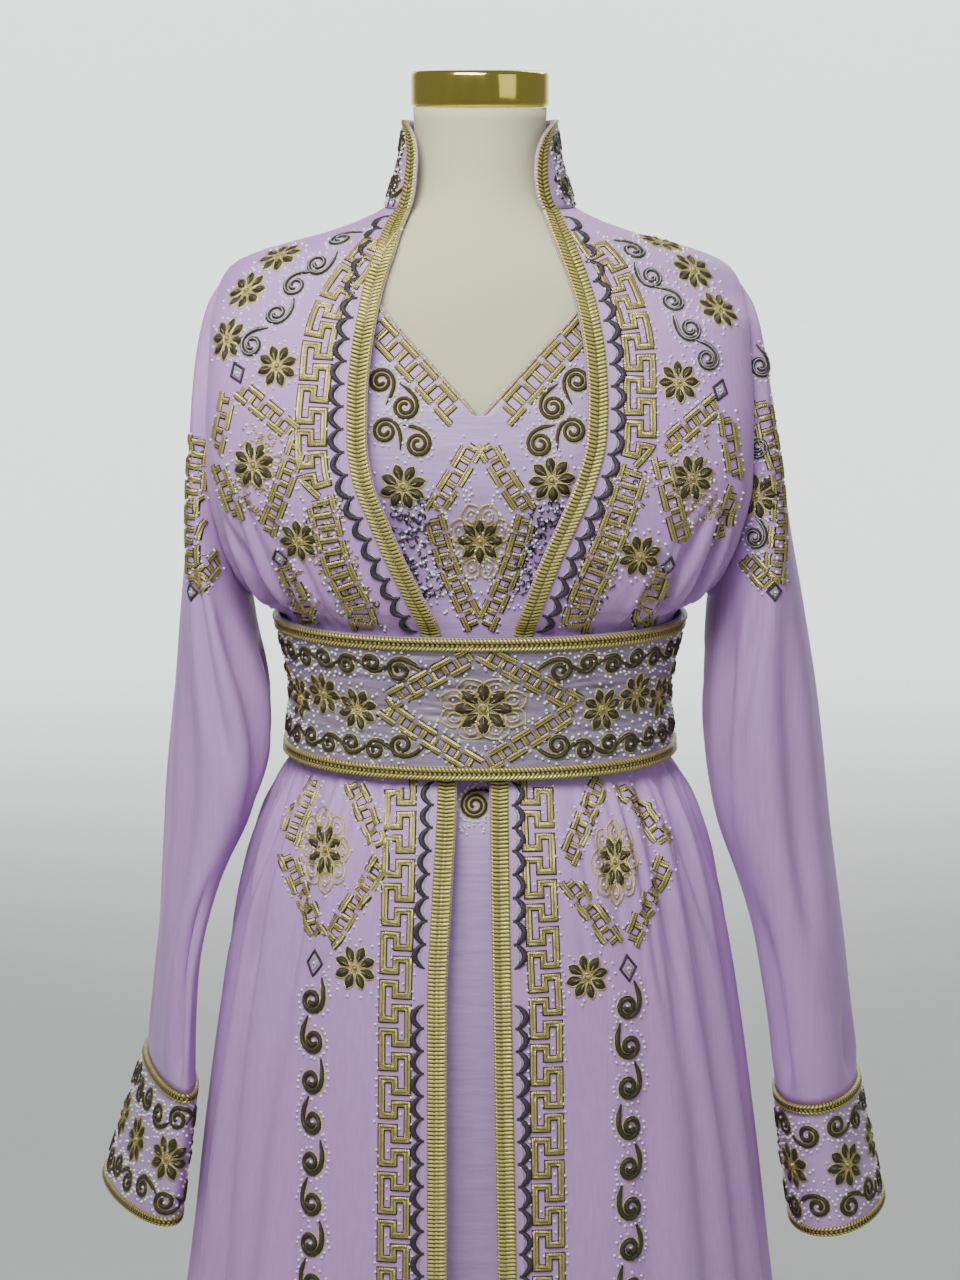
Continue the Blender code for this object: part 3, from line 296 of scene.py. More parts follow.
# Where the V neckline of the under-dress runs
V_EDGE = Table(
    ("z", "x"),
    ((1.3090, 0.0), (1.3450, 0.0335), (1.3830, 0.0680), (1.4100, 0.0850), (1.4330, 0.0930)),
)

# Soft valleys pressed into the robe. Depths are at the hip, at the hem and just above the belt.
FOLDS = (
    {"turn": 0.270, "spread": 0.021, "hip": 0.0045, "hem": 0.014, "chest": 0.0060},
    {"turn": 0.345, "spread": 0.020, "hip": 0.0075, "hem": 0.020, "chest": 0.0075},
    {"turn": 0.425, "spread": 0.020, "hip": 0.0080, "hem": 0.022, "chest": 0.0070},
    {"turn": 0.500, "spread": 0.018, "hip": 0.0045, "hem": 0.014, "chest": 0.0},
    {"turn": 0.575, "spread": 0.022, "hip": 0.0080, "hem": 0.022, "chest": 0.0050},
    {"turn": 0.690, "spread": 0.027, "hip": 0.0085, "hem": 0.024, "chest": 0.0050},
    {"turn": 0.810, "spread": 0.028, "hip": 0.0080, "hem": 0.023, "chest": 0.0040},
    {"turn": 0.930, "spread": 0.026, "hip": 0.0070, "hem": 0.021, "chest": 0.0030},
)
FOLD_SHARE = Table(
    ("z", "hip", "hem", "chest"),
    (
        (1.280, 0.0, 0.0, 0.0),
        (1.230, 0.0, 0.0, 0.45),
        (1.195, 0.0, 0.0, 1.0),
        (1.170, 0.0, 0.0, 0.8),
        (1.157, 0.0, 0.0, 0.0),
        (1.056, 0.0, 0.0, 0.0),
        (1.040, 0.55, 0.0, 0.0),
        (0.970, 0.9, 0.0, 0.0),
        (0.900, 1.0, 0.0, 0.0),
        (0.650, 0.75, 0.30, 0.0),
        (0.020, 0.0, 1.0, 0.0),
    ),
)

# Middle line of the band down each robe front below the belt
SKIRT_BAND = Table(
    ("z", "right", "left"),
    (
        (1.0400, 0.0550, 0.0404),
        (0.9760, 0.0554, 0.0415),
        (0.9080, 0.0582, 0.0450),
        (0.7200, 0.0605, 0.0479),
        (0.3500, 0.0640, 0.0510),
        (0.0400, 0.0680, 0.0550),
    ),
)

# Sleeves, as loops from the armhole down: the outer and inner outline seen from the front, how far
# the outer side lies back, the half depth, and how far the middle bows out.
SLEEVE_COLUMNS = ("outer_x", "outer_z", "inner_x", "inner_z", "set_back", "half_depth", "bow")
SLEEVES = {
    "right": (
        (0.1930, 1.378, 0.1650, 1.168, 0.000, 0.0610, 0.0165),
        (0.1975, 1.352, 0.1640, 1.162, 0.000, 0.0620, 0.0165),
        (0.2005, 1.315, 0.1625, 1.154, 0.002, 0.0630, 0.0170),
        (0.2050, 1.270, 0.1610, 1.145, 0.005, 0.0640, 0.0160),
        (0.2095, 1.222, 0.1590, 1.133, 0.010, 0.0640, 0.0130),
        (0.2165, 1.170, 0.1560, 1.117, 0.015, 0.0630, 0.0090),
        (0.2225, 1.115, 0.1540, 1.093, 0.020, 0.0620, 0.0050),
        (0.2280, 1.060, 0.1560, 1.058, 0.025, 0.0600, 0.0020),
        (0.2330, 1.005, 0.1690, 1.012, 0.030, 0.0580, 0.0),
        (0.2375, 0.950, 0.1890, 0.962, 0.034, 0.0550, 0.0),
        (0.2425, 0.900, 0.2035, 0.908, 0.038, 0.0510, 0.0),
        (0.2475, 0.855, 0.2080, 0.856, 0.042, 0.0460, 0.0),
        (0.2535, 0.8140, 0.2090, 0.8090, 0.045, 0.0420, 0.0),
    ),
    "left": (
        (0.1940, 1.378, 0.1650, 1.168, 0.000, 0.0610, 0.0165),
        (0.2000, 1.350, 0.1645, 1.162, 0.000, 0.0620, 0.0165),
        (0.2070, 1.312, 0.1640, 1.154, 0.000, 0.0630, 0.0165),
        (0.2140, 1.270, 0.1635, 1.144, 0.000, 0.0640, 0.0150),
        (0.2225, 1.222, 0.1630, 1.131, 0.002, 0.0640, 0.0120),
        (0.2330, 1.170, 0.1630, 1.113, 0.004, 0.0630, 0.0080),
        (0.2430, 1.115, 0.1635, 1.088, 0.006, 0.0620, 0.0040),
        (0.2505, 1.060, 0.1665, 1.053, 0.008, 0.0600, 0.0020),
        (0.2575, 1.005, 0.1760, 1.006, 0.010, 0.0580, 0.0),
        (0.2655, 0.950, 0.1925, 0.954, 0.012, 0.0570, 0.0),
        (0.2725, 0.900, 0.2055, 0.902, 0.012, 0.0560, 0.0),
        (0.2780, 0.850, 0.2145, 0.850, 0.012, 0.0550, 0.0),
        (0.2835, 0.8035, 0.2205, 0.7960, 0.012, 0.0540, 0.0),
    ),
}
CUFFS = {
    "right": (
        (0.2545, 0.8134, 0.2085, 0.8084, 0.045, 0.0425, 0.0),
        (0.2640, 0.7870, 0.2110, 0.7830, 0.046, 0.0435, 0.0),
        (0.2770, 0.7480, 0.2160, 0.7460, 0.047, 0.0435, 0.0),
        (0.2900, 0.7080, 0.2215, 0.7080, 0.046, 0.0420, 0.0),
    ),
    "left": (
        (0.2845, 0.8029, 0.2200, 0.7954, 0.012, 0.0545, 0.0),
        (0.2895, 0.7790, 0.2230, 0.7690, 0.012, 0.0550, 0.0),
        (0.2975, 0.7430, 0.2280, 0.7310, 0.012, 0.0560, 0.0),
        (0.3060, 0.7060, 0.2340, 0.6940, 0.012, 0.0565, 0.0),
    ),
}
SIDE_SIGN = {"right": -1.0, "left": 1.0}


def smoothstep(x, low, high):
    """0 at low, 1 at high, with a soft start and end."""
    t = np.clip((np.asarray(x, float) - low) / (high - low), 0, 1)
    return t * t * (3 - 2 * t)


def paired(a, b):
    """Both as arrays of numbers in one shape."""
    return np.broadcast_arrays(np.asarray(a, float), np.asarray(b, float))


def rounded(turn, power):
    """How far a rounded outline reaches sideways and forwards at this turn, each from -1 to 1."""
    ways = np.sin(math.pi * turn), np.cos(math.pi * turn)
    return [np.sign(way) * np.abs(way) ** (2 / power) for way in ways]


def circle(angles):
    """Places at these angles on a circle of radius 1."""
    return np.stack([np.cos(angles), np.sin(angles)], axis=-1)


def distances(points):
    """How far along a line each of its points is."""
    return np.concatenate([[0], np.cumsum(np.linalg.norm(np.diff(points, axis=0), axis=-1))])


def form_point(turn, z):
    """A point of the dress form's torso and neck."""
    turn, z = paired(turn, z)
    across, along = rounded(turn, FORM.at("power", z))
    x = FORM.at("half_width", z) * across
    depth = np.where(along > 0, FORM.at("front", z), FORM.at("back", z))
    y = -depth * along
    mound = np.exp(-(((np.abs(x) - BUST["x"]) / BUST["spread_x"]) ** 2))
    mound = mound * np.exp(-(((z - BUST["z"]) / BUST["spread_z"]) ** 2))
    y = y - BUST["rise"] * mound * smoothstep(along, 0.0, 0.5)
    return np.stack([x, y, z], axis=-1)


def normal_of(surface, turn, z, small=2e-4):
    """Outward unit normals of a surface given as a function of turn and height."""
    turn, z = paired(turn, z)
    around = surface(turn + small, z) - surface(turn - small, z)
    up = surface(turn, z + small) - surface(turn, z - small)
    normal = np.cross(around, up)
    return normal / np.linalg.norm(normal, axis=-1, keepdims=True)


def off_form(turn, z, lift):
    """A point that stands off the form by this much."""
    lift = np.asarray(lift, float)[..., None]
    return form_point(turn, z) + lift * normal_of(form_point, turn, z)


def bodice_point(turn, z):
    """Outer face of the under-dress above the waist. It bridges the hollow between the breasts."""
    turn, z = paired(turn, z)
    point = off_form(turn, z, BODICE_EASE.at("ease", z))
    bridge = np.exp(-((point[..., 0] / BRIDGE["spread_x"]) ** 2))
    bridge = bridge * np.exp(-(((z - BUST["z"]) / BRIDGE["spread_z"]) ** 2))
    point[..., 1] -= BRIDGE["rise"] * bridge * (turn < 0.5)
    return point


def armhole_half_depth(z):
    """Half the front-to-back size of the armhole at this height, 0 above and below it."""
    middle = (ARMHOLE_TOP + ARMHOLE_BOTTOM) / 2
    half = (ARMHOLE_TOP - ARMHOLE_BOTTOM) / 2
    inside = 1 - ((np.asarray(z, float) - middle) / half) ** 2
    return ARMHOLE_HALF_DEPTH * np.sqrt(np.clip(inside, 0, None))


def fold_depth(turn, z):
    """How far the robe's folds press it inwards here."""
    depth = np.zeros(np.broadcast(turn, z).shape)
    for fold in FOLDS:
        valley = np.exp(-(((turn - fold["turn"]) / fold["spread"]) ** 2))
        for where in ("hip", "hem", "chest"):
            depth = depth + fold[where] * FOLD_SHARE.at(where, z) * valley
    return depth


def robe_point(turn, z, back=False):
    """Outer face of the robe. Its shoulders lie on the form, and below them it hangs free."""
    turn, z = paired(turn, z)
    edge_depth = armhole_half_depth(z)
    across, along = rounded(turn, ROBE_POWER)
    half_width, depth = ROBE.at("half_width", z), ROBE.at("back" if back else "front", z)
    shrink = 1 - fold_depth(turn, z) / half_width
    x = half_width * across * shrink
    y = (edge_depth + (depth - edge_depth) * np.abs(along)) * shrink
    hanging = np.stack([x, y if back else -y, z], axis=-1)
    stand_off = ROBE_WALL + LAYER_GAP + UNDER_WALL + FORM_GAP + REST_PLAY
    resting = off_form(turn, z, np.full(z.shape, stand_off))
    share = 1 - smoothstep(z, SHOULDER_END, SHOULDER_TOP)
    return resting * (1 - share[..., None]) + hanging * share[..., None]


def turn_at_x(surface, x, z, low=0.0, high=0.5):
    """The turn at which a surface is this far out, between low on the centre line and high at the side."""
    low, high = np.full_like(z, low), np.full_like(z, high)
    for _ in range(40):
        middle = (low + high) / 2
        beyond = surface(middle, z)[..., 0] > x
        high = np.where(beyond, middle, high)
        low = np.where(beyond, low, middle)
    return (low + high) / 2


def collar_point(turn, rise):
    """Outer face of the stand collar: rise is 0 at the neckline seam and 1 at the top edge."""
    turn, rise = paired(turn, rise)
    height = np.full(turn.shape, NECKLINE)
    seam = np.where(
        (turn > 0.5)[..., None], robe_point(turn, height, back=True), robe_point(turn, height)
    )
    across, along = np.sin(math.pi * turn), np.cos(math.pi * turn)
    depth = np.where(along > 0, COLLAR_MOUTH["front"], COLLAR_MOUTH["back"])
    top = np.stack([COLLAR_MOUTH["half_width"] * across, -depth * along, height], axis=-1)
    lean = 1 - (1 - rise) ** COLLAR_LEAN
    point = seam + (top - seam) * lean[..., None]
    top_edge = COLLAR_TOP - COLLAR_DIP * smoothstep(turn, 0.5, 1.0)
    low_edge = seam[..., 2] + SEAM_GAP
    point[..., 2] = low_edge + (top_edge - low_edge) * rise
    return point


def belt_point(turn, z, lift=0.0):
    """Outer face of the belt, or a face that stands off it by lift."""
    turn, z = paired(turn, z)
    rows = np.array((BELT_BOTTOM, WAIST, BELT_TOP))
    half_width, front, back = (np.interp(z, rows, ROBE.at(c, rows)) for c in ("half_width", "front", "back"))
    across, along = rounded(turn, ROBE_POWER)
    out = 2 * LAYER_GAP + TRIM_WALL + BELT_PLAY + BELT_WALL + lift
    depth = np.where(along > 0, front, back) + out
    return np.stack([(half_width + out) * across, -depth * along, z], axis=-1)


def skirt_point(turn, z):
    """Outer face of the under-dress skirt."""
    turn, z = paired(turn, z)
    across, along = rounded(turn, ROBE_POWER)
    depth = np.where(along > 0, UNDER_SKIRT.at("front", z), UNDER_SKIRT.at("back", z))
    return np.stack([UNDER_SKIRT.at("half_width", z) * across, -depth * along, z], axis=-1)


# Main creases of each cloth piece: from here to there, half width and depth, then how far it bows.
# Robe creases run between two places on the body, each a turn and a height.
CREASES = {
    "robe_front_right": (
        (0.300, 1.158, 0.330, 1.275, 0.0052, 0.0042, 0.004),
        (0.372, 1.158, 0.392, 1.240, 0.0046, 0.0050, -0.003),
        (0.455, 1.158, 0.452, 1.225, 0.0050, 0.0040, 0.002),
        (0.240, 1.160, 0.262, 1.215, 0.0040, 0.0022, 0.002),
        (0.300, 1.052, 0.262, 0.780, 0.0090, 0.0040, 0.006),
        (0.395, 1.050, 0.372, 0.700, 0.0100, 0.0050, -0.006),
        (0.460, 1.040, 0.452, 0.640, 0.0110, 0.0045, 0.004),
        (0.205, 0.960, 0.190, 0.420, 0.0130, 0.0036, -0.005),
        (0.320, 0.760, 0.300, 0.120, 0.0150, 0.0052, 0.008),
        (0.420, 0.690, 0.410, 0.080, 0.0160, 0.0060, -0.006),
    ),
    "robe_front_left": (
        (0.285, 1.158, 0.322, 1.262, 0.0048, 0.0040, -0.003),
        (0.352, 1.158, 0.366, 1.250, 0.0052, 0.0052, 0.003),
        (0.442, 1.158, 0.438, 1.215, 0.0046, 0.0036, -0.002),
        (0.228, 1.160, 0.250, 1.208, 0.0042, 0.0024, 0.002),
        (0.282, 1.052, 0.252, 0.820, 0.0080, 0.0036, -0.005),
        (0.372, 1.050, 0.350, 0.730, 0.0100, 0.0052, 0.006),
        (0.452, 1.044, 0.440, 0.600, 0.0120, 0.0042, -0.004),
        (0.190, 0.900, 0.176, 0.360, 0.0140, 0.0034, 0.005),
        (0.300, 0.700, 0.290, 0.100, 0.0150, 0.0056, -0.008),
        (0.405, 0.640, 0.398, 0.060, 0.0170, 0.0058, 0.006),
    ),
    "robe_back": (
        (0.560, 1.158, 0.565, 1.270, 0.0060, 0.0040, 0.003),
        (0.640, 1.158, 0.650, 1.300, 0.0070, 0.0034, -0.004),
        (0.750, 1.158, 0.742, 1.330, 0.0085, 0.0030, 0.004),
        (0.870, 1.158, 0.860, 1.300, 0.0080, 0.0032, -0.003),
        (0.600, 1.050, 0.605, 0.720, 0.0100, 0.0044, 0.005),
        (0.720, 1.050, 0.716, 0.640, 0.0120, 0.0050, -0.006),
        (0.835, 1.050, 0.832, 0.700, 0.0110, 0.0040, 0.004),
        (0.960, 1.050, 0.962, 0.760, 0.0100, 0.0042, -0.003),
        (0.660, 0.660, 0.662, 0.060, 0.0160, 0.0060, 0.007),
        (0.880, 0.600, 0.884, 0.080, 0.0170, 0.0052, -0.007),
    ),
    # Sleeve and cuff creases run in metres round the loop from its outer side, and down from the armhole.
    "sleeve_right": (
        (0.200, 0.020, 0.214, 0.150, 0.0058, 0.0080, -0.004),
        (0.228, 0.020, 0.230, 0.130, 0.0052, 0.0070, 0.003),
        (0.088, 0.030, 0.112, 0.140, 0.0060, 0.0060, -0.004),
        (0.110, 0.030, 0.150, 0.180, 0.0085, 0.0085, 0.006),
        (0.165, 0.040, 0.190, 0.230, 0.0070, 0.0102, -0.005),
        (0.060, 0.060, 0.075, 0.300, 0.0100, 0.0068, 0.006),
        (0.120, 0.210, 0.110, 0.470, 0.0090, 0.0076, -0.006),
        (0.030, 0.260, 0.026, 0.560, 0.0110, 0.0058, 0.004),
        (0.360, 0.060, 0.330, 0.300, 0.0110, 0.0082, -0.008),
        (0.300, 0.120, 0.270, 0.420, 0.0100, 0.0071, 0.006),
        (0.250, 0.050, 0.235, 0.240, 0.0080, 0.0088, 0.004),
    ),
    "sleeve_left": (
        (0.205, 0.020, 0.222, 0.160, 0.0060, 0.0080, 0.004),
        (0.232, 0.020, 0.236, 0.120, 0.0050, 0.0070, -0.003),
        (0.092, 0.030, 0.118, 0.150, 0.0060, 0.0060, 0.004),
        (0.120, 0.030, 0.152, 0.200, 0.0080, 0.0088, -0.006),
        (0.172, 0.050, 0.186, 0.260, 0.0072, 0.0102, 0.004),
        (0.070, 0.050, 0.080, 0.280, 0.0095, 0.0068, -0.005),
        (0.130, 0.230, 0.122, 0.520, 0.0100, 0.0085, 0.006),
        (0.045, 0.300, 0.040, 0.600, 0.0120, 0.0061, -0.005),
        (0.350, 0.060, 0.326, 0.320, 0.0110, 0.0078, 0.007),
        (0.290, 0.140, 0.268, 0.460, 0.0105, 0.0075, -0.006),
        (0.255, 0.050, 0.238, 0.250, 0.0085, 0.0085, -0.004),
    ),
}

# Small gathers at the belt: how many on each piece, and the turns between which they lie
GATHERS = {
    "robe_front_right": {"count": 34, "low": 0.13, "high": 0.49, "seed": 3},
    "robe_front_left": {"count": 34, "low": 0.12, "high": 0.49, "seed": 5},
    "robe_back": {"count": 46, "low": 0.51, "high": 0.99, "seed": 8},
}
GATHER_HALF_WIDTH = (0.0022, 0.0042)
GATHER_DEPTH = (0.0010, 0.0030)
GATHER_FALL = (0.050, 0.190)
GATHER_CLIMB = (0.020, 0.075)

# Cross-sections of what is sewn on, as (sideways, height) for a half width of 1
ROUND_CORD = ((-1.0, -0.5), (-0.8, 0.65), (0.0, 1.2), (0.8, 0.65), (1.0, -0.5))
DOUBLE_CORD = ((-1.0, -0.4), (-0.55, 0.85), (0.0, 0.15), (0.55, 0.85), (1.0, -0.4))
FINE_CORD = ((-1.0, -0.6), (0.0, 1.6), (1.0, -0.6))
LOW_RIBBON = ((-1.0, -0.12), (-0.72, 0.14), (0.72, 0.14), (1.0, -0.12))
PETAL_MOUND = ((-1.0, -0.1), (-0.55, 0.42), (0.0, 0.62), (0.55, 0.42), (1.0, -0.1))

STEP = 0.0022
FRET_HALF_CORD = 0.0023
FRET_PERIOD = 0.0330
TEE_HALF_CORD = 0.0022
# How far the dark ribbon under each couched cord reaches past it: partly dark thread beneath, partly painted
# shadow round the cord
DARK_BORDER = 0.0008
SCALLOP_PERIOD = 0.0152
RUNG_PERIOD = 0.0028
LEAN_HEIGHTS = (1.02, 1.12)
LEANS = (0.30, 1.60)
PETALS = 8
EDGE_HALF = 0.00050
BEADS_PER_AREA = 9000
BEAD_SPACING = 0.0062
BEAD_ROW = 0.0034
CREASE_RIDGE = 0.28


def colour(name, description, default):
    return FloatVectorProperty(
        name=name, description=description, subtype="COLOR", size=3, min=0.0, max=1.0, default=default
    )


def length(name, description, default):
    return FloatProperty(
        name=name, description=description, subtype="DISTANCE", unit="LENGTH", min=0.0002, max=0.02,
        precision=4, default=default
    )


class KaftanColours(bpy.types.PropertyGroup):
    """Colours of the kaftan's finishes."""

    crepe: colour("Crepe", "Cloth of the robe and its sleeves", (0.478, 0.270, 0.588))
    satin: colour("Satin", "Cloth of the under-dress, cuffs and collar", (0.480, 0.305, 0.600))
    belt_satin: colour("Belt satin", "Cloth of the belt", (0.240, 0.188, 0.278))
    gold: colour("Gold thread", "Braids and outlines", (0.560, 0.485, 0.130))
    couched: colour("Couched thread", "Square-cut bands", (0.690, 0.595, 0.205))
    antique: colour("Antique thread", "Petals and scrolls", (0.040, 0.030, 0.017))
    plum: colour("Plum cord", "Scalloped cord beside the front braid", (0.042, 0.028, 0.042))
    silver: colour("Silver cord", "Thin arcs inside the scallops", (0.520, 0.500, 0.560))
    ivory: colour("Ivory cloth", "Cover of the dress form", (0.610, 0.620, 0.395))
    brass: colour("Brass", "Neck cap, pole and foot", (0.800, 0.640, 0.130))


class KaftanSizes(bpy.types.PropertyGroup):
    """Sizes of the kaftan's cloth and trimming."""

    cloth: length("Cloth thickness", "Thickness of the robe's cloth", 0.0008)
    stiff: length("Stiff thickness", "Thickness of the belt, cuffs and collar", 0.0016)
    cord: length("Cord half width", "Half the width of the scroll cords", 0.0017)
    outline: length("Outline half width", "Half the width of the cord round a petal", 0.0007)
    bead: length("Bead radius", "Radius of the small beads", 0.0011)


SKINS = {}
MADE = {}


def sizes():
    return bpy.context.scene.kaftan_sizes


def normalised(vectors):
    return vectors / np.maximum(np.linalg.norm(vectors, axis=-1, keepdims=True), 1e-12)


def crease_depth(across, down, creases):
    """How far the listed creases press the cloth in at places in metres. Each has a soft ridge beside it."""
    depth = np.zeros(np.broadcast(across, down).shape)
    for a0, d0, a1, d1, width, deep, bow in creases:
        run_a, run_d = a1 - a0, d1 - d0
        size = math.hypot(run_a, run_d)
        along = ((across - a0) * run_a + (down - d0) * run_d) / size**2
        off = ((across - a0) * run_d - (down - d0) * run_a) / size
        off = off - bow * np.sin(math.pi * np.clip(along, 0, 1))
        fade = smoothstep(along, -0.06, 0.22) * (1 - smoothstep(along, 0.62, 1.05))
        trough = np.exp(-((off / width) ** 2))
        ridge = np.exp(-(((np.abs(off) - 2.0 * width) / (1.1 * width)) ** 2))
        depth = depth + deep * fade * (trough - CREASE_RIDGE * ridge)
    return depth


def girth(turn, z):
    """Distance in metres along the robe from the front centre to this turn, roughly."""
    size = ROBE.at("half_width", z) + (ROBE.at("front", z) + ROBE.at("back", z)) / 2
    return turn * math.pi * size / 2


def small_gathers(name):
    """Short seeded creases that fan out above and below the belt, each with its own length and depth."""
    rule = GATHERS[name]
    chance = np.random.default_rng(rule["seed"])
    turns = np.linspace(rule["low"], rule["high"], rule["count"])
    gathers = []
    for turn in turns + chance.uniform(-0.004, 0.004, len(turns)):
        width, deep = chance.uniform(*GATHER_HALF_WIDTH), chance.uniform(*GATHER_DEPTH)
        fall, climb = chance.uniform(*GATHER_FALL), chance.uniform(*GATHER_CLIMB)
        gathers.append((turn, BELT_BOTTOM + 0.004, turn, BELT_BOTTOM - fall, width, deep, 0.0))
        if turn > 0.22:
            gathers.append((turn, BELT_TOP - 0.004, turn, BELT_TOP + climb, width, deep, 0.0))
    return gathers


def robe_skin(name, turn, z):
    """Outer face of the robe with its creases. They fade out at the shoulder and under the belt."""
    back = name == "robe_back"
    point = robe_point(turn, z, back=back)
    away = normal_of(lambda t, h: robe_point(t, h, back=back), turn, z)
    rows = [*CREASES[name], *small_gathers(name)]
    in_metres = [(girth(a, d), d, girth(b, e), e, *rest) for a, d, b, e, *rest in rows]
    depth = crease_depth(girth(turn, z), z, in_metres)
    free = 1 - smoothstep(z, SHOULDER_END - 0.03, SHOULDER_TOP)
    seam = smoothstep(np.abs(turn - 0.5), 0.0, 0.02)
    above_bottom = smoothstep(z, BELT_BOTTOM - 0.006, BELT_BOTTOM)
    below_top = 1 - smoothstep(z, BELT_TOP, BELT_TOP + 0.006)
    depth = depth * free * seam * (1 - above_bottom * below_top)
    return point - away * depth[..., None]


def grid_faces(rows, columns, closed):
    """Corner numbers of a grid's quads, and each corner's row and column, the last column counted on."""
    cells = np.meshgrid(np.arange(rows - 1), np.arange(columns if closed else columns - 1), indexing="ij")
    row, column = (part.ravel() for part in cells)
    rows_at = np.stack([row, row + 1, row + 1, row], axis=-1)
    columns_at = np.stack([column, column, column + 1, column + 1], axis=-1)
    return rows_at * columns + columns_at % columns, rows_at, columns_at


class Skin:
    """The outer face of a cloth piece as a grid of points, for laying embroidery on it."""

    def __init__(self, grid, closed=False, core=None, outwards=None):
        rows, columns = grid.shape[:2]
        self.grid, self.closed = grid, closed
        self.faces, self.rows_at, self.columns_at = grid_faces(rows, columns, closed)
        points = grid.reshape(-1, 3)
        middle = points[self.faces].mean(axis=1)
        away = middle - (np.array(core) if core is not None else middle * [0, 0, 1])
        if outwards is not None:
            away = np.broadcast_to(outwards, middle.shape)
        a, b, c, d = points[self.faces].swapaxes(0, 1)
        cross = np.cross(c - a, d - b)
        if (cross * away).sum() < 0:
            self.faces, self.rows_at, self.columns_at = (
                part[:, ::-1] for part in (self.faces, self.rows_at, self.columns_at)
            )
            cross = -cross
        summed = np.zeros_like(points)
        for corner in range(4):
            np.add.at(summed, self.faces[:, corner], cross)
        self.normals = normalised(summed).reshape(grid.shape)
        self.face_normals = normalised(self.normals.reshape(-1, 3)[self.faces].mean(axis=1))
        self.tree = BVHTree.FromPolygons(points.tolist(), self.faces.tolist())
        ring = np.concatenate([grid, grid[:, :1]], axis=1) if closed else grid
        self.across = distances(ring[rows // 2])
        self.down = distances(grid[:, columns // 2])

    def area(self):
        points = self.grid.reshape(-1, 3)
        a, b, c, d = points[self.faces].swapaxes(0, 1)
        halves = (np.linalg.norm(np.cross(first - a, then - a), axis=-1) for first, then in ((b, c), (c, d)))
        return float(sum(halves).sum() / 2)

    def place(self, across, down):
        """Points and outward normals at places in metres across and down the cloth's own grid."""
        rows, columns = self.grid.shape[:2]
        if self.closed:
            across = np.mod(across, self.across[-1])
        u = np.interp(across, self.across, np.arange(len(self.across)))
        v = np.interp(down, self.down, np.arange(rows))
        last = columns if self.closed else columns - 1
        i = np.clip(np.floor(u).astype(int), 0, last - 1)
        j = np.clip(np.floor(v).astype(int), 0, rows - 2)
        fu, fv = (u - i)[:, None], (v - j)[:, None]
        i2 = (i + 1) % columns
        blended = []
        for table in (self.grid, self.normals):
            upper = table[j, i] * (1 - fu) + table[j, i2] * fu
            lower = table[j + 1, i] * (1 - fu) + table[j + 1, i2] * fu
            blended.append(upper * (1 - fv) + lower * fv)
        return blended[0], normalised(blended[1])

    def met(self, starts, ways):
        """Where rays first meet the cloth, with outward normals. A ray that misses gives nan."""
        points = np.full((len(starts), 3), np.nan)
        normals = np.full((len(starts), 3), np.nan)
        for i, (start, way) in enumerate(zip(starts.tolist(), ways.tolist())):
            hit, _, face, _ = self.tree.ray_cast(Vector(start), Vector(way), 4.0)
            if hit is not None:
                points[i], normals[i] = hit, self.face_normals[face]
        return points, normals

    def ahead(self, x, z):
        """Points met from straight ahead at these distances from the centre line and heights."""
        x, z = paired(x, z)
        starts = np.stack([x, np.full_like(x, -1.0), z], axis=-1)
        return self.met(starts, np.broadcast_to([0.0, 1.0, 0.0], starts.shape))

    def seat(self, points, away, reach=0.02):
        """Points moved along their outward directions on to the cloth, or to its nearest place."""
        found, normals = self.met(points + away * reach, -away)
        lost = np.isnan(found[:, 0]) | (np.linalg.norm(found - points, axis=-1) > 2 * reach)
        for k in np.flatnonzero(lost):
            spot, _, face, _ = self.tree.find_nearest(Vector(points[k].tolist()))
            found[k], normals[k] = spot, self.face_normals[face]
        return found, normals


def runs(places):
    """Each run between two neighbouring places, with the places before and after it."""
    padded = [2 * places[0] - places[1], *places, 2 * places[-1] - places[-2]]
    return zip(padded, padded[1:], padded[2:], padded[3:])


def bent(a, b, c, d, t):
    """A smooth curve from b at t = 0 to c at t = 1, with a before it and d after it."""
    return 0.5 * (2 * b + (c - a) * t + (2 * a - 5 * b + 4 * c - d) * t**2 + (3 * b - a - 3 * c + d) * t**3)


def smooth_line(places, step=0.0015):
    """A smooth line through these places, evenly spaced. Any number of coordinates."""
    places = np.asarray(places, float)
    pieces = []
    for a, b, c, d in runs(places):
        count = max(2, int(np.linalg.norm(c - b) / step))
        pieces.append(bent(a, b, c, d, np.linspace(0, 1, count, endpoint=False)[:, None]))
    return even(np.vstack([*pieces, places[-1:]]), step)


def even(line, step):
    """The line resampled at even steps."""
    where = distances(line)
    count = max(2, int(round(where[-1] / step)) + 1)
    wanted = np.linspace(0, where[-1], count)
    return np.stack([np.interp(wanted, where, line[:, k]) for k in range(line.shape[1])], axis=-1)


def cut_up(line, step):
    """The line with points added along its long segments, its corners kept."""
    line = np.asarray(line, float)
    pieces = []
    for a, b in zip(line[:-1], line[1:]):
        count = max(1, int(math.ceil(np.linalg.norm(b - a) / step)))
        pieces.append(a + (b - a) * (np.arange(count) / count)[:, None])
    return np.vstack([*pieces, line[-1:]])


class Strip:
    """Flat paper along a line on a cloth: places are metres along the line, and metres to its side."""

    def __init__(self, skin, points, normals):
        good = ~np.isnan(points[:, 0])
        self.skin, points, normals = skin, points[good], normals[good]
        self.where = distances(points)
        along = normalised(np.gradient(points, axis=0))
        self.points, self.normals = points, normals
        self.sides = normalised(np.cross(normals, along))
        self.size = float(self.where[-1])

    def place(self, along, aside):
        parts = []
        for table in (self.points, self.sides, self.normals):
            parts.append(np.stack([np.interp(along, self.where, table[:, k]) for k in range(3)], axis=-1))
        point, side, normal = parts
        return self.skin.seat(point + side * np.asarray(aside)[:, None], normalised(normal))


def strip_ahead(skin, places):
    """A strip along a smooth line of places seen from straight ahead, each an x and a z."""
    line = smooth_line(places)
    return Strip(skin, *skin.ahead(line[:, 0], line[:, 1]))


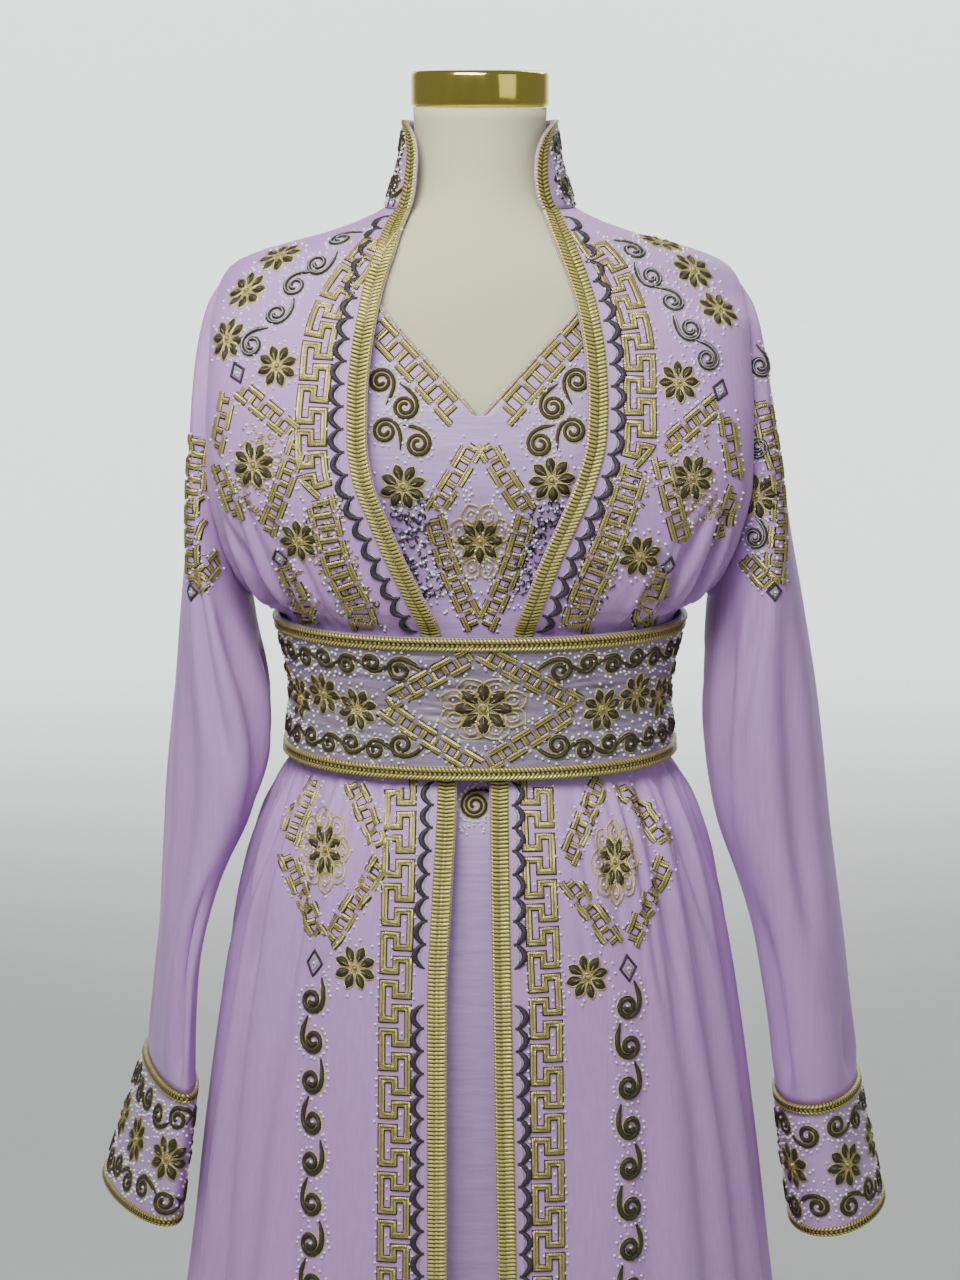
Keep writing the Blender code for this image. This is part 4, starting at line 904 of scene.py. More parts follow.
class Patch:
    """Flat paper round one place on a cloth: places are metres level and metres up from it."""

    def __init__(self, skin, x=None, z=None, point=None, normal=None):
        if point is None:
            points, normals = skin.ahead([x], [z])
            point, normal = points[0], normals[0]
        self.skin, self.point, self.normal = skin, point, normal
        level = np.array([1.0, 0, 0])
        self.level = normalised(np.cross([0, 0, 1], normal)) if abs(normal[2]) < 0.98 else level
        if self.level @ [1, 0, 0] < 0 and normal[1] < 0:
            self.level = -self.level
        self.up = normalised(np.cross(normal, self.level))
        if self.up[2] < 0:
            self.up = -self.up

    def place(self, level, up):
        level, up = np.asarray(level, float)[:, None], np.asarray(up, float)[:, None]
        points = self.point + level * self.level + up * self.up
        return self.skin.seat(points, np.broadcast_to(self.normal, points.shape))


class Work:
    """Cords, mounds and beads of one finish, gathered into one mesh."""

    def __init__(self):
        self.points, self.faces, self.corners, self.count = [], [], [], 0

    def add(self, points, faces, corners):
        self.points.append(points)
        self.faces.append(faces + self.count)
        self.corners.append(corners)
        self.count += len(points)

    def cover(self, skin, moved=None):
        """A cloth's own faces, on its grid or on one moved off it, mapped in metres."""
        corners = np.stack([skin.across[skin.columns_at], skin.down[skin.rows_at]], axis=-1)
        self.add((skin.grid if moved is None else moved).reshape(-1, 3), skin.faces, corners)

    def cord(self, paper, line, half, section=ROUND_CORD, closed=False, step=STEP, lift=0.0, ends=0.35):
        """Lays a cord along a line on paper. half is its half width, one number or one for each point."""
        line = np.asarray(line, float)
        if np.ndim(half) == 0:
            if closed:
                line = np.vstack([line, line[:1]])
            line = cut_up(line, step)
            if closed:
                line = line[:-1]
            half = np.full(len(line), float(half))
        if len(line) < 2:
            return
        points, normals = paper.place(line[:, 0], line[:, 1])
        if closed:
            onward = normalised(np.roll(points, -1, axis=0) - points)
            inward = normalised(points - np.roll(points, 1, axis=0))
        else:
            steps = normalised(np.diff(points, axis=0))
            onward = np.vstack([steps, steps[-1:]])
            inward = np.vstack([steps[:1], steps])
        along = normalised(onward + inward)
        mitre = 1 / np.clip((along * onward).sum(axis=-1), 0.7, 1)
        side = normalised(np.cross(along, normals)) * mitre[:, None]
        section = np.array(section)
        half = np.array(half)
        if not closed and ends:
            half[[0, -1]] *= ends
        across = side[:, None, :] * (section[:, 0] * half[:, None])[..., None]
        upward = normals[:, None, :] * (section[:, 1] * half[:, None] + lift)[..., None]
        rings = points[:, None, :] + across + upward
        faces, rows_at, columns_at = grid_faces(len(line) + closed, len(section), False)
        faces = (rows_at % len(line)) * len(section) + columns_at
        walked = distances(points)
        walked = np.append(walked, walked[-1] + STEP)
        corners = np.stack([section[columns_at, 0] * float(half.max()), walked[rows_at]], axis=-1)
        self.add(rings.reshape(-1, 3), faces, corners)

    def beads(self, paper, spots, radius):
        """Small domes at spots on paper."""
        spots = np.asarray(spots, float)
        if len(spots) == 0:
            return
        points, normals = paper.place(spots[:, 0], spots[:, 1])
        good = ~np.isnan(points[:, 0])
        points, normals = points[good], normals[good]
        level = normalised(np.cross(normals, [0.31, 0.17, 0.93]))
        up = np.cross(normals, level)
        angle = np.arange(6) * math.pi / 3
        rings = []
        for reach, height in ((1.0, -0.1), (0.74, 0.95)):
            flat = np.cos(angle)[:, None] * level[:, None] + np.sin(angle)[:, None] * up[:, None]
            rings.append(points[:, None] + flat * reach * radius + normals[:, None] * height * radius)
        tops = (points + normals * 1.4 * radius)[:, None]
        cluster = np.concatenate([*rings, tops], axis=1)
        faces = [(k, (k + 1) % 6, (k + 1) % 6 + 6, k + 6) for k in range(6)]
        faces += [(6 + k, 7 + k, 6 + (k + 2) % 6, 12) for k in range(0, 6, 2)]
        faces = np.array(faces)
        number = np.arange(len(points))[:, None, None] * cluster.shape[1]
        corners = np.zeros((len(points) * len(faces), 4, 2))
        self.add(cluster.reshape(-1, 3), (faces[None] + number).reshape(-1, 4), corners)

    def make(self, name, finish, replaces=()):
        """Links what was gathered as one piece."""
        gathered = (np.concatenate(part) for part in (self.points, self.faces, self.corners))
        return dress(name, quads_mesh(name, *gathered), finish, replaces)


def quads_mesh(name, points, faces, corners):
    """A mesh of quads with a map in metres called thread."""
    mesh = bpy.data.meshes.new(name)
    mesh.vertices.add(len(points))
    mesh.vertices.foreach_set("co", points.astype(np.float32).ravel())
    mesh.loops.add(faces.size)
    mesh.loops.foreach_set("vertex_index", faces.astype(np.int32).ravel())
    mesh.polygons.add(len(faces))
    mesh.polygons.foreach_set("loop_start", np.arange(0, faces.size, 4, dtype=np.int32))
    mesh.uv_layers.new(name="thread")
    mesh.uv_layers["thread"].data.foreach_set("uv", corners.astype(np.float32).reshape(-1))
    mesh.update(calc_edges=True)
    mesh.validate()
    return mesh


def dress(name, mesh, finish, replaces):
    """Links a mesh as a piece that rides on the form, smoothly shaded in its finish."""
    mesh.materials.append(material(finish))
    mesh.shade_smooth()
    piece = bpy.data.objects.new(name, mesh)
    bpy.context.scene.collection.objects.link(piece)
    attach(piece, "root")
    SLOTS[finish]
    if replaces:
        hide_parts(*replaces)
    return piece


def cut_size(parts):
    """The widest run across a cloth's parts and the longest run down them, in metres on the cloth itself."""
    across = sum(np.linalg.norm(np.diff(part.grid, axis=1), axis=-1).sum(axis=1).max() for part in parts)
    down = max(np.linalg.norm(np.diff(part.grid, axis=0), axis=-1).sum(axis=0).max() for part in parts)
    return round(float(across), 3), round(float(down), 3)


def shell(name, skins, finish, node, thickness, merge=False):
    """A thin cloth from its skins, its thickness going inwards."""
    work = Work()
    for skin in skins:
        work.cover(skin)
    piece = work.make(name, finish, (node,))
    if merge:
        weld = piece.modifiers.new("centre", "WELD")
        weld.merge_threshold = 0.00003
    solid = piece.modifiers.new("cloth", "SOLIDIFY")
    solid.thickness = thickness
    solid.offset = -1.0
    flat = cut_size(skins)
    area = round(sum(skin.area() for skin in skins), 4)
    min(area, 0.999 * flat[0] * flat[1])


class Value:
    """A socket of a shader. Sums and products with it add Math nodes."""

    def __init__(self, tree, socket):
        self.tree, self.socket = tree, socket

    def maths(self, operation, *others):
        node = self.tree.nodes.new("ShaderNodeMath")
        node.operation = operation
        for slot, what in zip(node.inputs, others):
            plug(self.tree, slot, what)
        return Value(self.tree, node.outputs[0])

    def __add__(self, other):
        return self.maths("ADD", self, other)

    def __sub__(self, other):
        return self.maths("SUBTRACT", self, other)

    def __rsub__(self, other):
        return self.maths("SUBTRACT", other, self)

    def __mul__(self, other):
        return self.maths("MULTIPLY", self, other)

    def absolute(self):
        return self.maths("ABSOLUTE", self)

    def sine(self):
        return self.maths("SINE", self)

    __radd__ = __add__
    __rmul__ = __mul__


def plug(tree, socket, what):
    """Links a value to a socket, or sets the socket to it."""
    if isinstance(what, Value):
        tree.links.new(what.socket, socket)
    elif isinstance(what, (tuple, list)) and len(what) == 3 and socket.type == "RGBA":
        socket.default_value = (*what, 1.0)
    else:
        socket.default_value = what


class Finish:
    """A material in the making."""

    def __init__(self, name):
        self.material = bpy.data.materials.new(f"{name}_finish")
        self.material.use_nodes = True
        self.tree = self.material.node_tree
        self.tree.nodes.clear()

    def node(self, kind, settings=None, sockets=None, output=0):
        """A node of this kind, its settings made first, then its sockets. Gives one of its outputs."""
        made = self.tree.nodes.new(f"ShaderNode{kind}")
        for key, value in (settings or {}).items():
            if key == "stops":
                self.set_stops(made.color_ramp, value)
            else:
                setattr(made, key, value)
        for key, value in (sockets or {}).items():
            plug(self.tree, made.inputs[key], value)
        return Value(self.tree, made.outputs[output])

    @staticmethod
    def set_stops(ramp, stops):
        while len(ramp.elements) < len(stops):
            ramp.elements.new(0.5)
        for element, (place, shade) in zip(ramp.elements, stops):
            element.position = place
            element.color = (*shade, 1.0) if isinstance(shade, tuple) else (shade, shade, shade, 1.0)

    def place(self):
        """Metres from the garment's own middle."""
        return self.node("TexCoord", output="Object")

    def thread_map(self):
        """Metres across and along the cord or cloth."""
        return self.node("UVMap", {"uv_map": "thread"})

    def parts(self, vector, *names):
        """The named parts of a vector as numbers."""
        first = self.node("SeparateXYZ", {}, {0: vector}, names[0])
        return [Value(self.tree, first.socket.node.outputs[name]) for name in names]

    def noise(self, where, scale, detail=2.0, stretch=None):
        if stretch:
            where = self.node("Mapping", {"vector_type": "POINT"}, {"Vector": where, "Scale": stretch})
        return self.node("TexNoise", {}, {"Vector": where, "Scale": scale, "Detail": detail})

    def blend(self, share, first, second):
        """first where share is 0, second where it is 1."""
        return self.node("Mix", {"data_type": "RGBA"}, {0: share, 6: first, 7: second}, output=2)

    def range(self, value, low, high, to_low=0.0, to_high=1.0):
        ends = {"From Min": low, "From Max": high, "To Min": to_low, "To Max": to_high}
        return self.node("MapRange", {"clamp": True}, {"Value": value, **ends})

    def bump(self, height, strength, distance, under=None):
        sockets = {"Height": height, "Strength": strength, "Distance": distance}
        if under is not None:
            sockets["Normal"] = under
        return self.node("Bump", {}, sockets)

    def surface(self, **sockets):
        """Ends the material in one shader. Underscores in names stand for spaces."""
        shader = self.tree.nodes.new("ShaderNodeBsdfPrincipled")
        for key, value in sockets.items():
            plug(self.tree, shader.inputs[key.replace("_", " ")], value)
        out = self.tree.nodes.new("ShaderNodeOutputMaterial")
        self.tree.links.new(shader.outputs[0], out.inputs[0])
        return self.material


def shaded(base, factor):
    return tuple(min(1.0, part * factor) for part in base)


def tinted(base, other, share):
    return tuple(a * (1 - share) + b * share for a, b in zip(base, other))


def chosen(name):
    """The colour set for this in the panel."""
    return tuple(getattr(bpy.context.scene.kaftan_colours, name))


def material(name):
    """The named finish, made when it is first asked for."""
    if name not in MADE:
        MADE[name] = FINISHES[name](name)
    return MADE[name]


def crepe(name):
    """Fine crinkled crepe: upright crinkles with painted highlights on their ridges, a pebbled weave, and a
    slow change of tone.
    """
    base = chosen("crepe")
    finish = Finish(name)
    where = finish.place()
    crinkle = finish.noise(where, 1.0, 2.0, (420.0, 420.0, 9.0))
    pebble = finish.noise(where, 1500.0, 1.0)
    drift = finish.noise(where, 3.5, 2.0)
    soft = finish.blend(drift, shaded(base, 0.90), tinted(shaded(base, 1.10), (0.72, 0.50, 0.74), 0.16))
    # painted highlight: the cloth is made lighter along the crinkles' ridges
    cloth = finish.blend(finish.range(crinkle, 0.35, 0.70, 0.0, 0.45), soft, shaded(base, 1.22))
    cloth = finish.blend(finish.range(pebble, 0.3, 0.7, 0.0, 0.16), cloth, shaded(base, 0.72))
    normal = finish.bump(crinkle, 0.35, 0.0007)
    normal = finish.bump(pebble, 0.25, 0.0002, normal)
    return finish.surface(
        Base_Color=cloth, Roughness=finish.range(crinkle, 0.3, 0.7, 0.50, 0.62), Normal=normal,
        Sheen_Weight=0.18, Sheen_Roughness=0.40, Sheen_Tint=(0.86, 0.70, 0.96, 1.0), Specular_IOR_Level=0.30,
    )


def satin(name):
    return woven_satin(name, chosen("satin"))


def belt_satin(name):
    # the belt's puckers have deeper bumps and stronger painted shade
    return woven_satin(name, chosen("belt_satin"), 0.0030, 0.60)


def woven_satin(name, base, pucker_depth=0.0011, pucker_shade=0.30):
    """Closely woven satin: a fine slanting rib, small puckers darkened with painted shade, and a soft shine.
    """
    finish = Finish(name)
    where = finish.place()
    pucker = finish.noise(where, 1.0, 2.0, (30.0, 30.0, 230.0))
    rib = finish.noise(where, 1.0, 1.0, (1300.0, 1300.0, 500.0))
    drift = finish.noise(where, 5.0, 2.0)
    cloth = finish.blend(drift, shaded(base, 0.88), tinted(shaded(base, 1.10), (0.70, 0.52, 0.74), 0.12))
    # painted shade: the cloth is darkened in the puckers' hollows
    cloth = finish.blend(finish.range(pucker, 0.40, 0.70, 0.0, pucker_shade), cloth, shaded(base, 0.62))
    cloth = finish.blend(finish.range(rib, 0.3, 0.7, 0.0, 0.14), cloth, shaded(base, 1.3))
    normal = finish.bump(pucker, 0.45, pucker_depth)
    normal = finish.bump(rib, 0.22, 0.0002, normal)
    return finish.surface(
        Base_Color=cloth, Roughness=finish.range(pucker, 0.3, 0.7, 0.36, 0.48), Normal=normal,
        Sheen_Weight=0.12, Sheen_Roughness=0.4, Sheen_Tint=(0.88, 0.76, 0.96, 1.0), Specular_IOR_Level=0.5,
    )


def twisted(name, base, dark, metal, rough, pitch=0.0011):
    """Twisted thread: slanting strands along the cord with painted shade between them, duller patches here
    and there, and small painted highlights in spots.
    """
    finish = Finish(name)
    across, along = finish.parts(finish.thread_map(), "X", "Y")
    strands = ((along + across * 0.9) * (2 * math.pi / pitch)).sine()
    patchy = finish.noise(finish.place(), 160.0, 2.0)
    sheen_spots = finish.noise(finish.place(), 900.0, 1.0)
    # painted shade between the strands
    thread = finish.blend(finish.range(strands, -1.0, 0.8), dark, base)
    dull = tinted(shaded(base, 0.7), dark, 0.3)
    thread = finish.blend(finish.range(patchy, 0.35, 0.7, 0.0, 0.55), thread, dull)
    # painted highlight: small bright glints on the thread
    thread = finish.blend(finish.range(sheen_spots, 0.58, 0.72), thread, shaded(base, 1.5))
    normal = finish.bump(strands, 0.5, 0.0002)
    return finish.surface(
        Base_Color=thread, Metallic=metal, Normal=normal, Specular_IOR_Level=0.5,
        Roughness=finish.range(sheen_spots, 0.3, 0.7, rough + 0.1, rough - 0.08),
    )


def plaited_gold(name):
    """Plaited braid: rungs with painted shade in the gaps between them, between two twisted rims whose
    stitches alternate painted shade and painted highlight, leaning to a middle seam above the belt that is
    darkened with painted shade.
    """
    base = chosen("gold")
    finish = Finish(name)
    across, along = finish.parts(finish.thread_map(), "X", "Y")
    height, = finish.parts(finish.place(), "Z")
    off = (across * (1 / BRAID_WIDTH) - 0.5).absolute()
    lean = finish.range(height, *LEAN_HEIGHTS, *LEANS)
    rung = ((along * (1 / RUNG_PERIOD) + off * lean) * math.pi).sine().absolute()
    seam = finish.range(off, 0.02, 0.06, 1.0, 0.0) * finish.range(height, *LEAN_HEIGHTS, 0.0, 0.8)
    rim = finish.range(off, 0.365, 0.40)
    stitch = (along * (2 * math.pi / 0.0021) + across * 1500.0).sine()
    worn = finish.noise(finish.place(), 300.0, 2.0)
    # painted shade in the gaps between the rungs
    thread = finish.blend(finish.range(rung, 0.38, 0.92), shaded(base, 0.08), shaded(base, 1.15))
    # painted shade in the middle seam
    thread = finish.blend(seam, thread, shaded(base, 0.14))
    # painted highlight on the rim stitches, with painted shade between them
    lit = tinted(shaded(base, 1.2), (1.0, 0.9, 0.6), 0.15)
    rims = finish.blend(finish.range(stitch, -0.8, 0.6), shaded(base, 0.36), lit)
    thread = finish.blend(rim, thread, rims)
    thread = finish.blend(finish.range(worn, 0.40, 0.75, 0.0, 0.5), thread, shaded(base, 0.50))
    return finish.surface(
        Base_Color=thread, Metallic=0.40, Roughness=finish.range(worn, 0.3, 0.7, 0.30, 0.46),
        Normal=finish.bump(rung, 0.6, 0.0005), Specular_IOR_Level=0.5,
    )


def couched_gold(name):
    """Pairs of couched cords: slanting strands with painted shade between them, painted shade in the groove
    between the two cords, and painted shade at their feet.
    """
    base = chosen("couched")
    finish = Finish(name)
    across, along = finish.parts(finish.thread_map(), "X", "Y")
    off = across.absolute()
    strands = ((along + off * 0.9) * (2 * math.pi / 0.0013)).sine()
    worn = finish.noise(finish.place(), 220.0, 2.0)
    # painted shade between the strands
    thread = finish.blend(finish.range(strands, -1.0, 0.6), shaded(base, 0.30), shaded(base, 1.15))
    thread = finish.blend(finish.range(worn, 0.48, 0.70, 0.0, 0.50), thread, shaded(base, 0.32))
    # painted shade in the groove between the two cords
    thread = finish.blend(finish.range(off, 0.00010, 0.00040, 0.85, 0.0), thread, shaded(base, 0.12))
    # painted shade at the cords' feet, where they meet the cloth
    thread = finish.blend(finish.range(off, 0.00195, 0.00225, 0.0, 0.90), thread, shaded(base, 0.06))
    return finish.surface(
        Base_Color=thread, Metallic=0.60, Roughness=finish.range(worn, 0.3, 0.7, 0.24, 0.42),
        Normal=finish.bump(strands, 0.5, 0.0002), Specular_IOR_Level=0.5,
    )


def trim_gold(name):
    """Narrow woven braid: two rounded ridges of slanting thread, with a chain of stitches between them.
    Painted shade lies between the slanting threads, between the stitches and in the grooves beside the chain.
    """
    base = chosen("gold")
    finish = Finish(name)
    across, along = finish.parts(finish.thread_map(), "X", "Y")
    off = across.absolute()
    slant = ((along + off * 0.8) * (2 * math.pi / 0.0027)).sine()
    chain = (along * (2 * math.pi / 0.0034)).sine()
    worn = finish.noise(finish.place(), 260.0, 2.0)
    # painted shade between the slanting threads
    ridge = finish.blend(finish.range(slant, -0.9, 0.3), shaded(base, 0.14), shaded(base, 1.15))
    # painted shade between the chain stitches
    middle = finish.blend(finish.range(chain, -0.2, 0.5), shaded(base, 0.07), shaded(base, 1.0))
    thread = finish.blend(finish.range(off, 0.0007, 0.0010), middle, ridge)
    # painted shade in the grooves between the chain and the ridges
    groove = finish.range(off, 0.0007, 0.0010) * finish.range(off, 0.0012, 0.0016, 1.0, 0.0)
    thread = finish.blend(groove, thread, shaded(base, 0.07))
    thread = finish.blend(finish.range(worn, 0.42, 0.75, 0.0, 0.5), thread, shaded(base, 0.35))
    return finish.surface(
        Base_Color=thread, Metallic=0.45, Roughness=finish.range(worn, 0.3, 0.7, 0.30, 0.46),
        Normal=finish.bump(slant, 0.5, 0.0003), Specular_IOR_Level=0.5,
    )


# Plain twisted threads: the colour, how much lighter it is made, how dark the painted shade between the
# strands is, how metallic, how rough, and metres from one strand to the next
TWISTS = {
    "gold_thread": ("gold", 1.0, 0.20, 0.45, 0.38, 0.0017),
    "antique_thread": ("antique", 1.6, 0.35, 0.15, 0.40, 0.0009),
    "plum_cord": ("plum", 1.25, 0.40, 0.10, 0.50, 0.0016),
    "silver_cord": ("silver", 1.0, 0.45, 0.35, 0.38, 0.0010),
}


def plain_twist(name):
    colour_name, lighter, darker, metal, rough, pitch = TWISTS[name]
    base = chosen(colour_name)
    return twisted(name, shaded(base, lighter), shaded(base, darker), metal, rough, pitch)


def bright_gold(name):
    base = chosen("gold")
    return twisted(name, tinted(shaded(base, 1.25), (0.80, 0.74, 0.50), 0.20), shaded(base, 0.42), 0.50, 0.34)


def bead(name):
    """Clear pearly beads with slightly uneven tint."""
    finish = Finish(name)
    tint = finish.noise(finish.place(), 240.0, 1.0)
    pearl = finish.blend(finish.range(tint, 0.35, 0.65), (0.74, 0.72, 0.80), (0.93, 0.92, 0.88))
    rough = finish.range(tint, 0.3, 0.7, 0.10, 0.20)
    return finish.surface(Base_Color=pearl, Roughness=rough, Coat_Weight=0.6, Specular_IOR_Level=0.8)


def ivory(name):
    """Close matt cotton over the form."""
    base = chosen("ivory")
    finish = Finish(name)
    where = finish.place()
    weave = finish.noise(where, 1100.0, 1.0)
    drift = finish.noise(where, 7.0, 3.0)
    cloth = finish.blend(drift, shaded(base, 0.94), shaded(base, 1.05))
    cloth = finish.blend(finish.range(weave, 0.3, 0.7, 0.0, 0.2), cloth, shaded(base, 0.8))
    normal = finish.bump(weave, 0.3, 0.0003)
    return finish.surface(Base_Color=cloth, Roughness=0.85, Normal=normal, Sheen_Weight=0.15)


def brass(name):
    """Polished brass with faint handling marks."""
    base = chosen("brass")
    finish = Finish(name)
    smear = finish.noise(finish.place(), 1.0, 3.0, (60.0, 60.0, 14.0))
    metal = finish.blend(smear, shaded(base, 0.9), shaded(base, 1.08))
    rough = finish.range(smear, 0.3, 0.75, 0.07, 0.17)
    normal = finish.bump(smear, 0.08, 0.0006)
    return finish.surface(Base_Color=metal, Metallic=1.0, Roughness=rough, Normal=normal)


def floor_finish(name):
    finish = Finish(name)
    grain = finish.noise(finish.place(), 40.0, 2.0)
    tone = finish.blend(grain, (0.80, 0.815, 0.81), (0.84, 0.85, 0.845))
    return finish.surface(Base_Color=tone, Roughness=0.9)


FINISHES = {
    "lilac_crepe": crepe,
    "lilac_satin": satin,
    "belt_satin": belt_satin,
    "plaited_gold": plaited_gold,
    "couched_gold": couched_gold,
    "trim_gold": trim_gold,
    "bright_gold_thread": bright_gold,
    **dict.fromkeys(TWISTS, plain_twist),
    "pearl_bead": bead,
    "ivory_cotton": ivory,
    "polished_brass": brass,
    "studio_paper": floor_finish,
}


# The photograph's own camera: where it stands, how far it tips down, and its focal length in pixels
EYE = (0.0, -2.0, 1.52)
TIP = math.atan(540 / 2800)
FOCAL = 2800.0
FRAME = (960, 1280)
SENSOR = 36.0


def sight(across, down):
    """Directions of sight through places in the frame, in pixels from its upper left corner."""
    across, down = paired(across, down)
    forward = np.array([0, math.cos(TIP), -math.sin(TIP)])
    up = np.array([0, math.sin(TIP), math.cos(TIP)])
    right = (across[..., None] - FRAME[0] / 2) / FOCAL * np.array([1.0, 0, 0])
    return normalised(forward + right + (FRAME[1] / 2 - down[..., None]) / FOCAL * up)


def seen(skin, places):
    """Points and normals of a cloth where it is seen at these places in the frame."""
    ways = sight(np.asarray(places, float)[:, 0], np.asarray(places, float)[:, 1])
    return skin.met(np.broadcast_to(EYE, ways.shape), ways)


def strip_seen(skin, places):
    """A strip along a smooth line of places in the frame."""
    return Strip(skin, *seen(skin, smooth_line(places, 1.5)))


def patch_seen(skin, across, down):
    points, normals = seen(skin, [(across, down)])
    if np.isnan(points).any():
        raise RuntimeError(f"no cloth is seen at {across}, {down}")
    return Patch(skin, point=points[0], normal=normals[0])


class Flat:
    """Flat paper on a cloth's own grid, its middle moved to a place across and down the grid."""

    def __init__(self, skin, across, down):
        self.skin, self.across, self.down = skin, across, down

    def place(self, level, up):
        return self.skin.place(self.across + np.asarray(level, float), self.down - np.asarray(up, float))


class Edge:
    """Flat paper along a straight edge drawn on other paper."""

    def __init__(self, paper, start, end):
        self.paper, self.start = paper, np.asarray(start, float)
        reach = np.asarray(end, float) - self.start
        self.size = float(np.linalg.norm(reach))
        self.way = reach / self.size
        self.side = np.array([-self.way[1], self.way[0]])

    def place(self, along, aside):
        spot = self.start + np.outer(along, self.way) + np.outer(aside, self.side)
        return self.paper.place(spot[:, 0], spot[:, 1])


class Stretched:
    """Flat paper stretched round a place on other paper, where 1 is its half width and its half height."""

    def __init__(self, paper, middle, size):
        self.paper, self.middle, self.size = paper, middle, size

    def place(self, level, up):
        level = self.middle[0] + self.size[0] * np.asarray(level, float)
        return self.paper.place(level, self.middle[1] + self.size[1] * np.asarray(up, float))


# The slot of the part that each finish fills
SLOTS = {
    "lilac_crepe": "lilac_crepe", "lilac_satin": "lilac_satin", "belt_satin": "lilac_satin",
    "plaited_gold": "gold_braid", "trim_gold": "gold_braid", "gold_thread": "gold_braid",
    "couched_gold": "gold_braid", "bright_gold_thread": "gold_braid", "antique_thread": "antique_thread",
    "plum_cord": "antique_thread", "silver_cord": "antique_thread", "pearl_bead": "antique_thread",
    "ivory_cotton": "form_cloth", "polished_brass": "gold_metal",
}


def even_round(count):
    """Places spread evenly round a circle of radius 1."""
    return circle(np.arange(count) * 2 * math.pi / count)


class Embroidery:
    """The thread and bead work of one part of the garment, one mesh for each finish."""

    def __init__(self, name, seed=1):
        self.name, self.works = name, {}
        self.chance = np.random.default_rng(seed)
        self.cord_half, self.outline, self.bead_radius = sizes().cord, sizes().outline, sizes().bead

    def __getitem__(self, finish):
        return self.works.setdefault(finish, Work())

    def scatter(self, paper, spots, share=1.0, jitter=0.0006):
        """Beads at these spots, moved a little and each a little different."""
        spots = np.asarray(spots, float)
        if len(spots) == 0:
            return
        spots = spots[self.chance.uniform(size=len(spots)) < share]
        spots = spots + self.chance.normal(scale=jitter, size=spots.shape)
        self["pearl_bead"].beads(paper, spots, self.bead_radius)

    def bead_line(self, paper, line, spacing, share=1.0):
        self.scatter(paper, even(np.asarray(line, float), spacing), share)

    def couched(self, paper, line, half, step):
        """A pair of gold cords side by side on a low dark border: dark thread beneath them that also serves
        as painted shadow round their edges.
        """
        self["antique_thread"].cord(paper, line, half + DARK_BORDER, LOW_RIBBON, step=step, ends=1.0)
        self["couched_gold"].cord(paper, line, half, DOUBLE_CORD, step=step, ends=0.95)

    def side_beads(self, paper, low, high, half, share):
        """A row of beads along each side of a band."""
        rows = np.arange(low, high, BEAD_SPACING)
        for aside in (-half - BEAD_ROW, half + BEAD_ROW):
            self.scatter(paper, np.stack([rows, np.full_like(rows, aside)], axis=-1), share)

    def fret(self, paper, low, high, half, period, flip=1, cord=FRET_HALF_CORD):
        """A square-cut running fret along a strip, with beads in its pockets and along both sides."""
        turns = ((-1, 0), (-1, 0.75), (0, 0.75), (0, 0.5), (1, 0.5), (1, 1.25), (0, 1.25), (0, 1.0))
        count = max(1, int(round((high - low) / period)))
        period = (high - low) / count
        line = [(low + (k + s) * period, flip * t * half) for k in range(count) for t, s in turns]
        line = [(s, t) for s, t in line if s <= high + 0.0001]
        self.couched(paper, line, cord, 0.005)
        pockets = [(low + (k + s) * period, flip * t * half) for k in range(count)
                   for t, s in ((-0.5, 0.2), (-0.5, 0.5), (0.5, 0.75), (0.5, 1.0))]
        self.scatter(paper, [spot for spot in pockets if spot[0] < high], 0.8)
        self.side_beads(paper, low, high, half, 0.8)

    def tee_fret(self, paper, low, high, half, period, flip=1, cord=TEE_HALF_CORD):
        """A narrow band of tees: bars along both sides in turn, with stems that reach past the middle."""
        count = max(1, int(round((high - low) / period)))
        period = (high - low) / count
        for k in range(2 * count):
            side = flip * (1 if k % 2 else -1)
            middle = low + (k + 0.5) * period / 2
            bar = [(middle - 0.39 * period, side * half), (middle + 0.39 * period, side * half)]
            self.couched(paper, bar, cord, 0.004)
            stem = [(middle, side * (half - cord)), (middle, -side * (half - 1.1 * cord))]
            self.couched(paper, stem, cord, 0.004)
        self.side_beads(paper, low, high, half, 0.85)

    def outlined(self, paper, line, half, edge="bright_gold_thread"):
        """A thick dark cord with a fine bright cord along each side."""
        line = np.asarray(line, float)
        self["antique_thread"].cord(paper, line, np.full(len(line), half), ROUND_CORD)
        way = normalised(np.gradient(line, axis=0))
        side = np.stack([-way[:, 1], way[:, 0]], axis=-1)
        for sign in (-1, 1):
            fine = line + side * sign * (half + 0.0002)
            self[edge].cord(paper, fine, np.full(len(line), EDGE_HALF), FINE_CORD)

    def scroll(self, paper, centre, radius, heading, hand, tail=1.7, turns=1.7, half=None, silvery=False):
        """One curl: a tail that comes in from the heading and winds round the centre, beads outside it."""
        half = half or self.cord_half
        around = np.linspace(0, 2 * math.pi * turns, int(14 * turns) + 2)
        reach = radius * (1 - 0.80 * (around / around[-1]) ** 1.25 + (tail - 1) * np.exp(-around / 0.5))
        angle = heading + hand * around
        line = np.asarray(centre) + reach[:, None] * circle(angle)
        if silvery:
            self.outlined(paper, line, half, edge="silver_cord")
            self["silver_cord"].cord(paper, line, np.full(len(line), 0.0006), FINE_CORD, lift=0.9 * half)
        else:
            self.outlined(paper, line, half)
        first = around < 2 * math.pi * 0.95
        outside = np.asarray(centre) + (reach[first] + 2.2 * half + 0.0010)[:, None] * circle(angle[first])
        self.bead_line(paper, outside, 0.0046, 0.9)
        self.scatter(paper, [centre], 1.0, 0.0003)

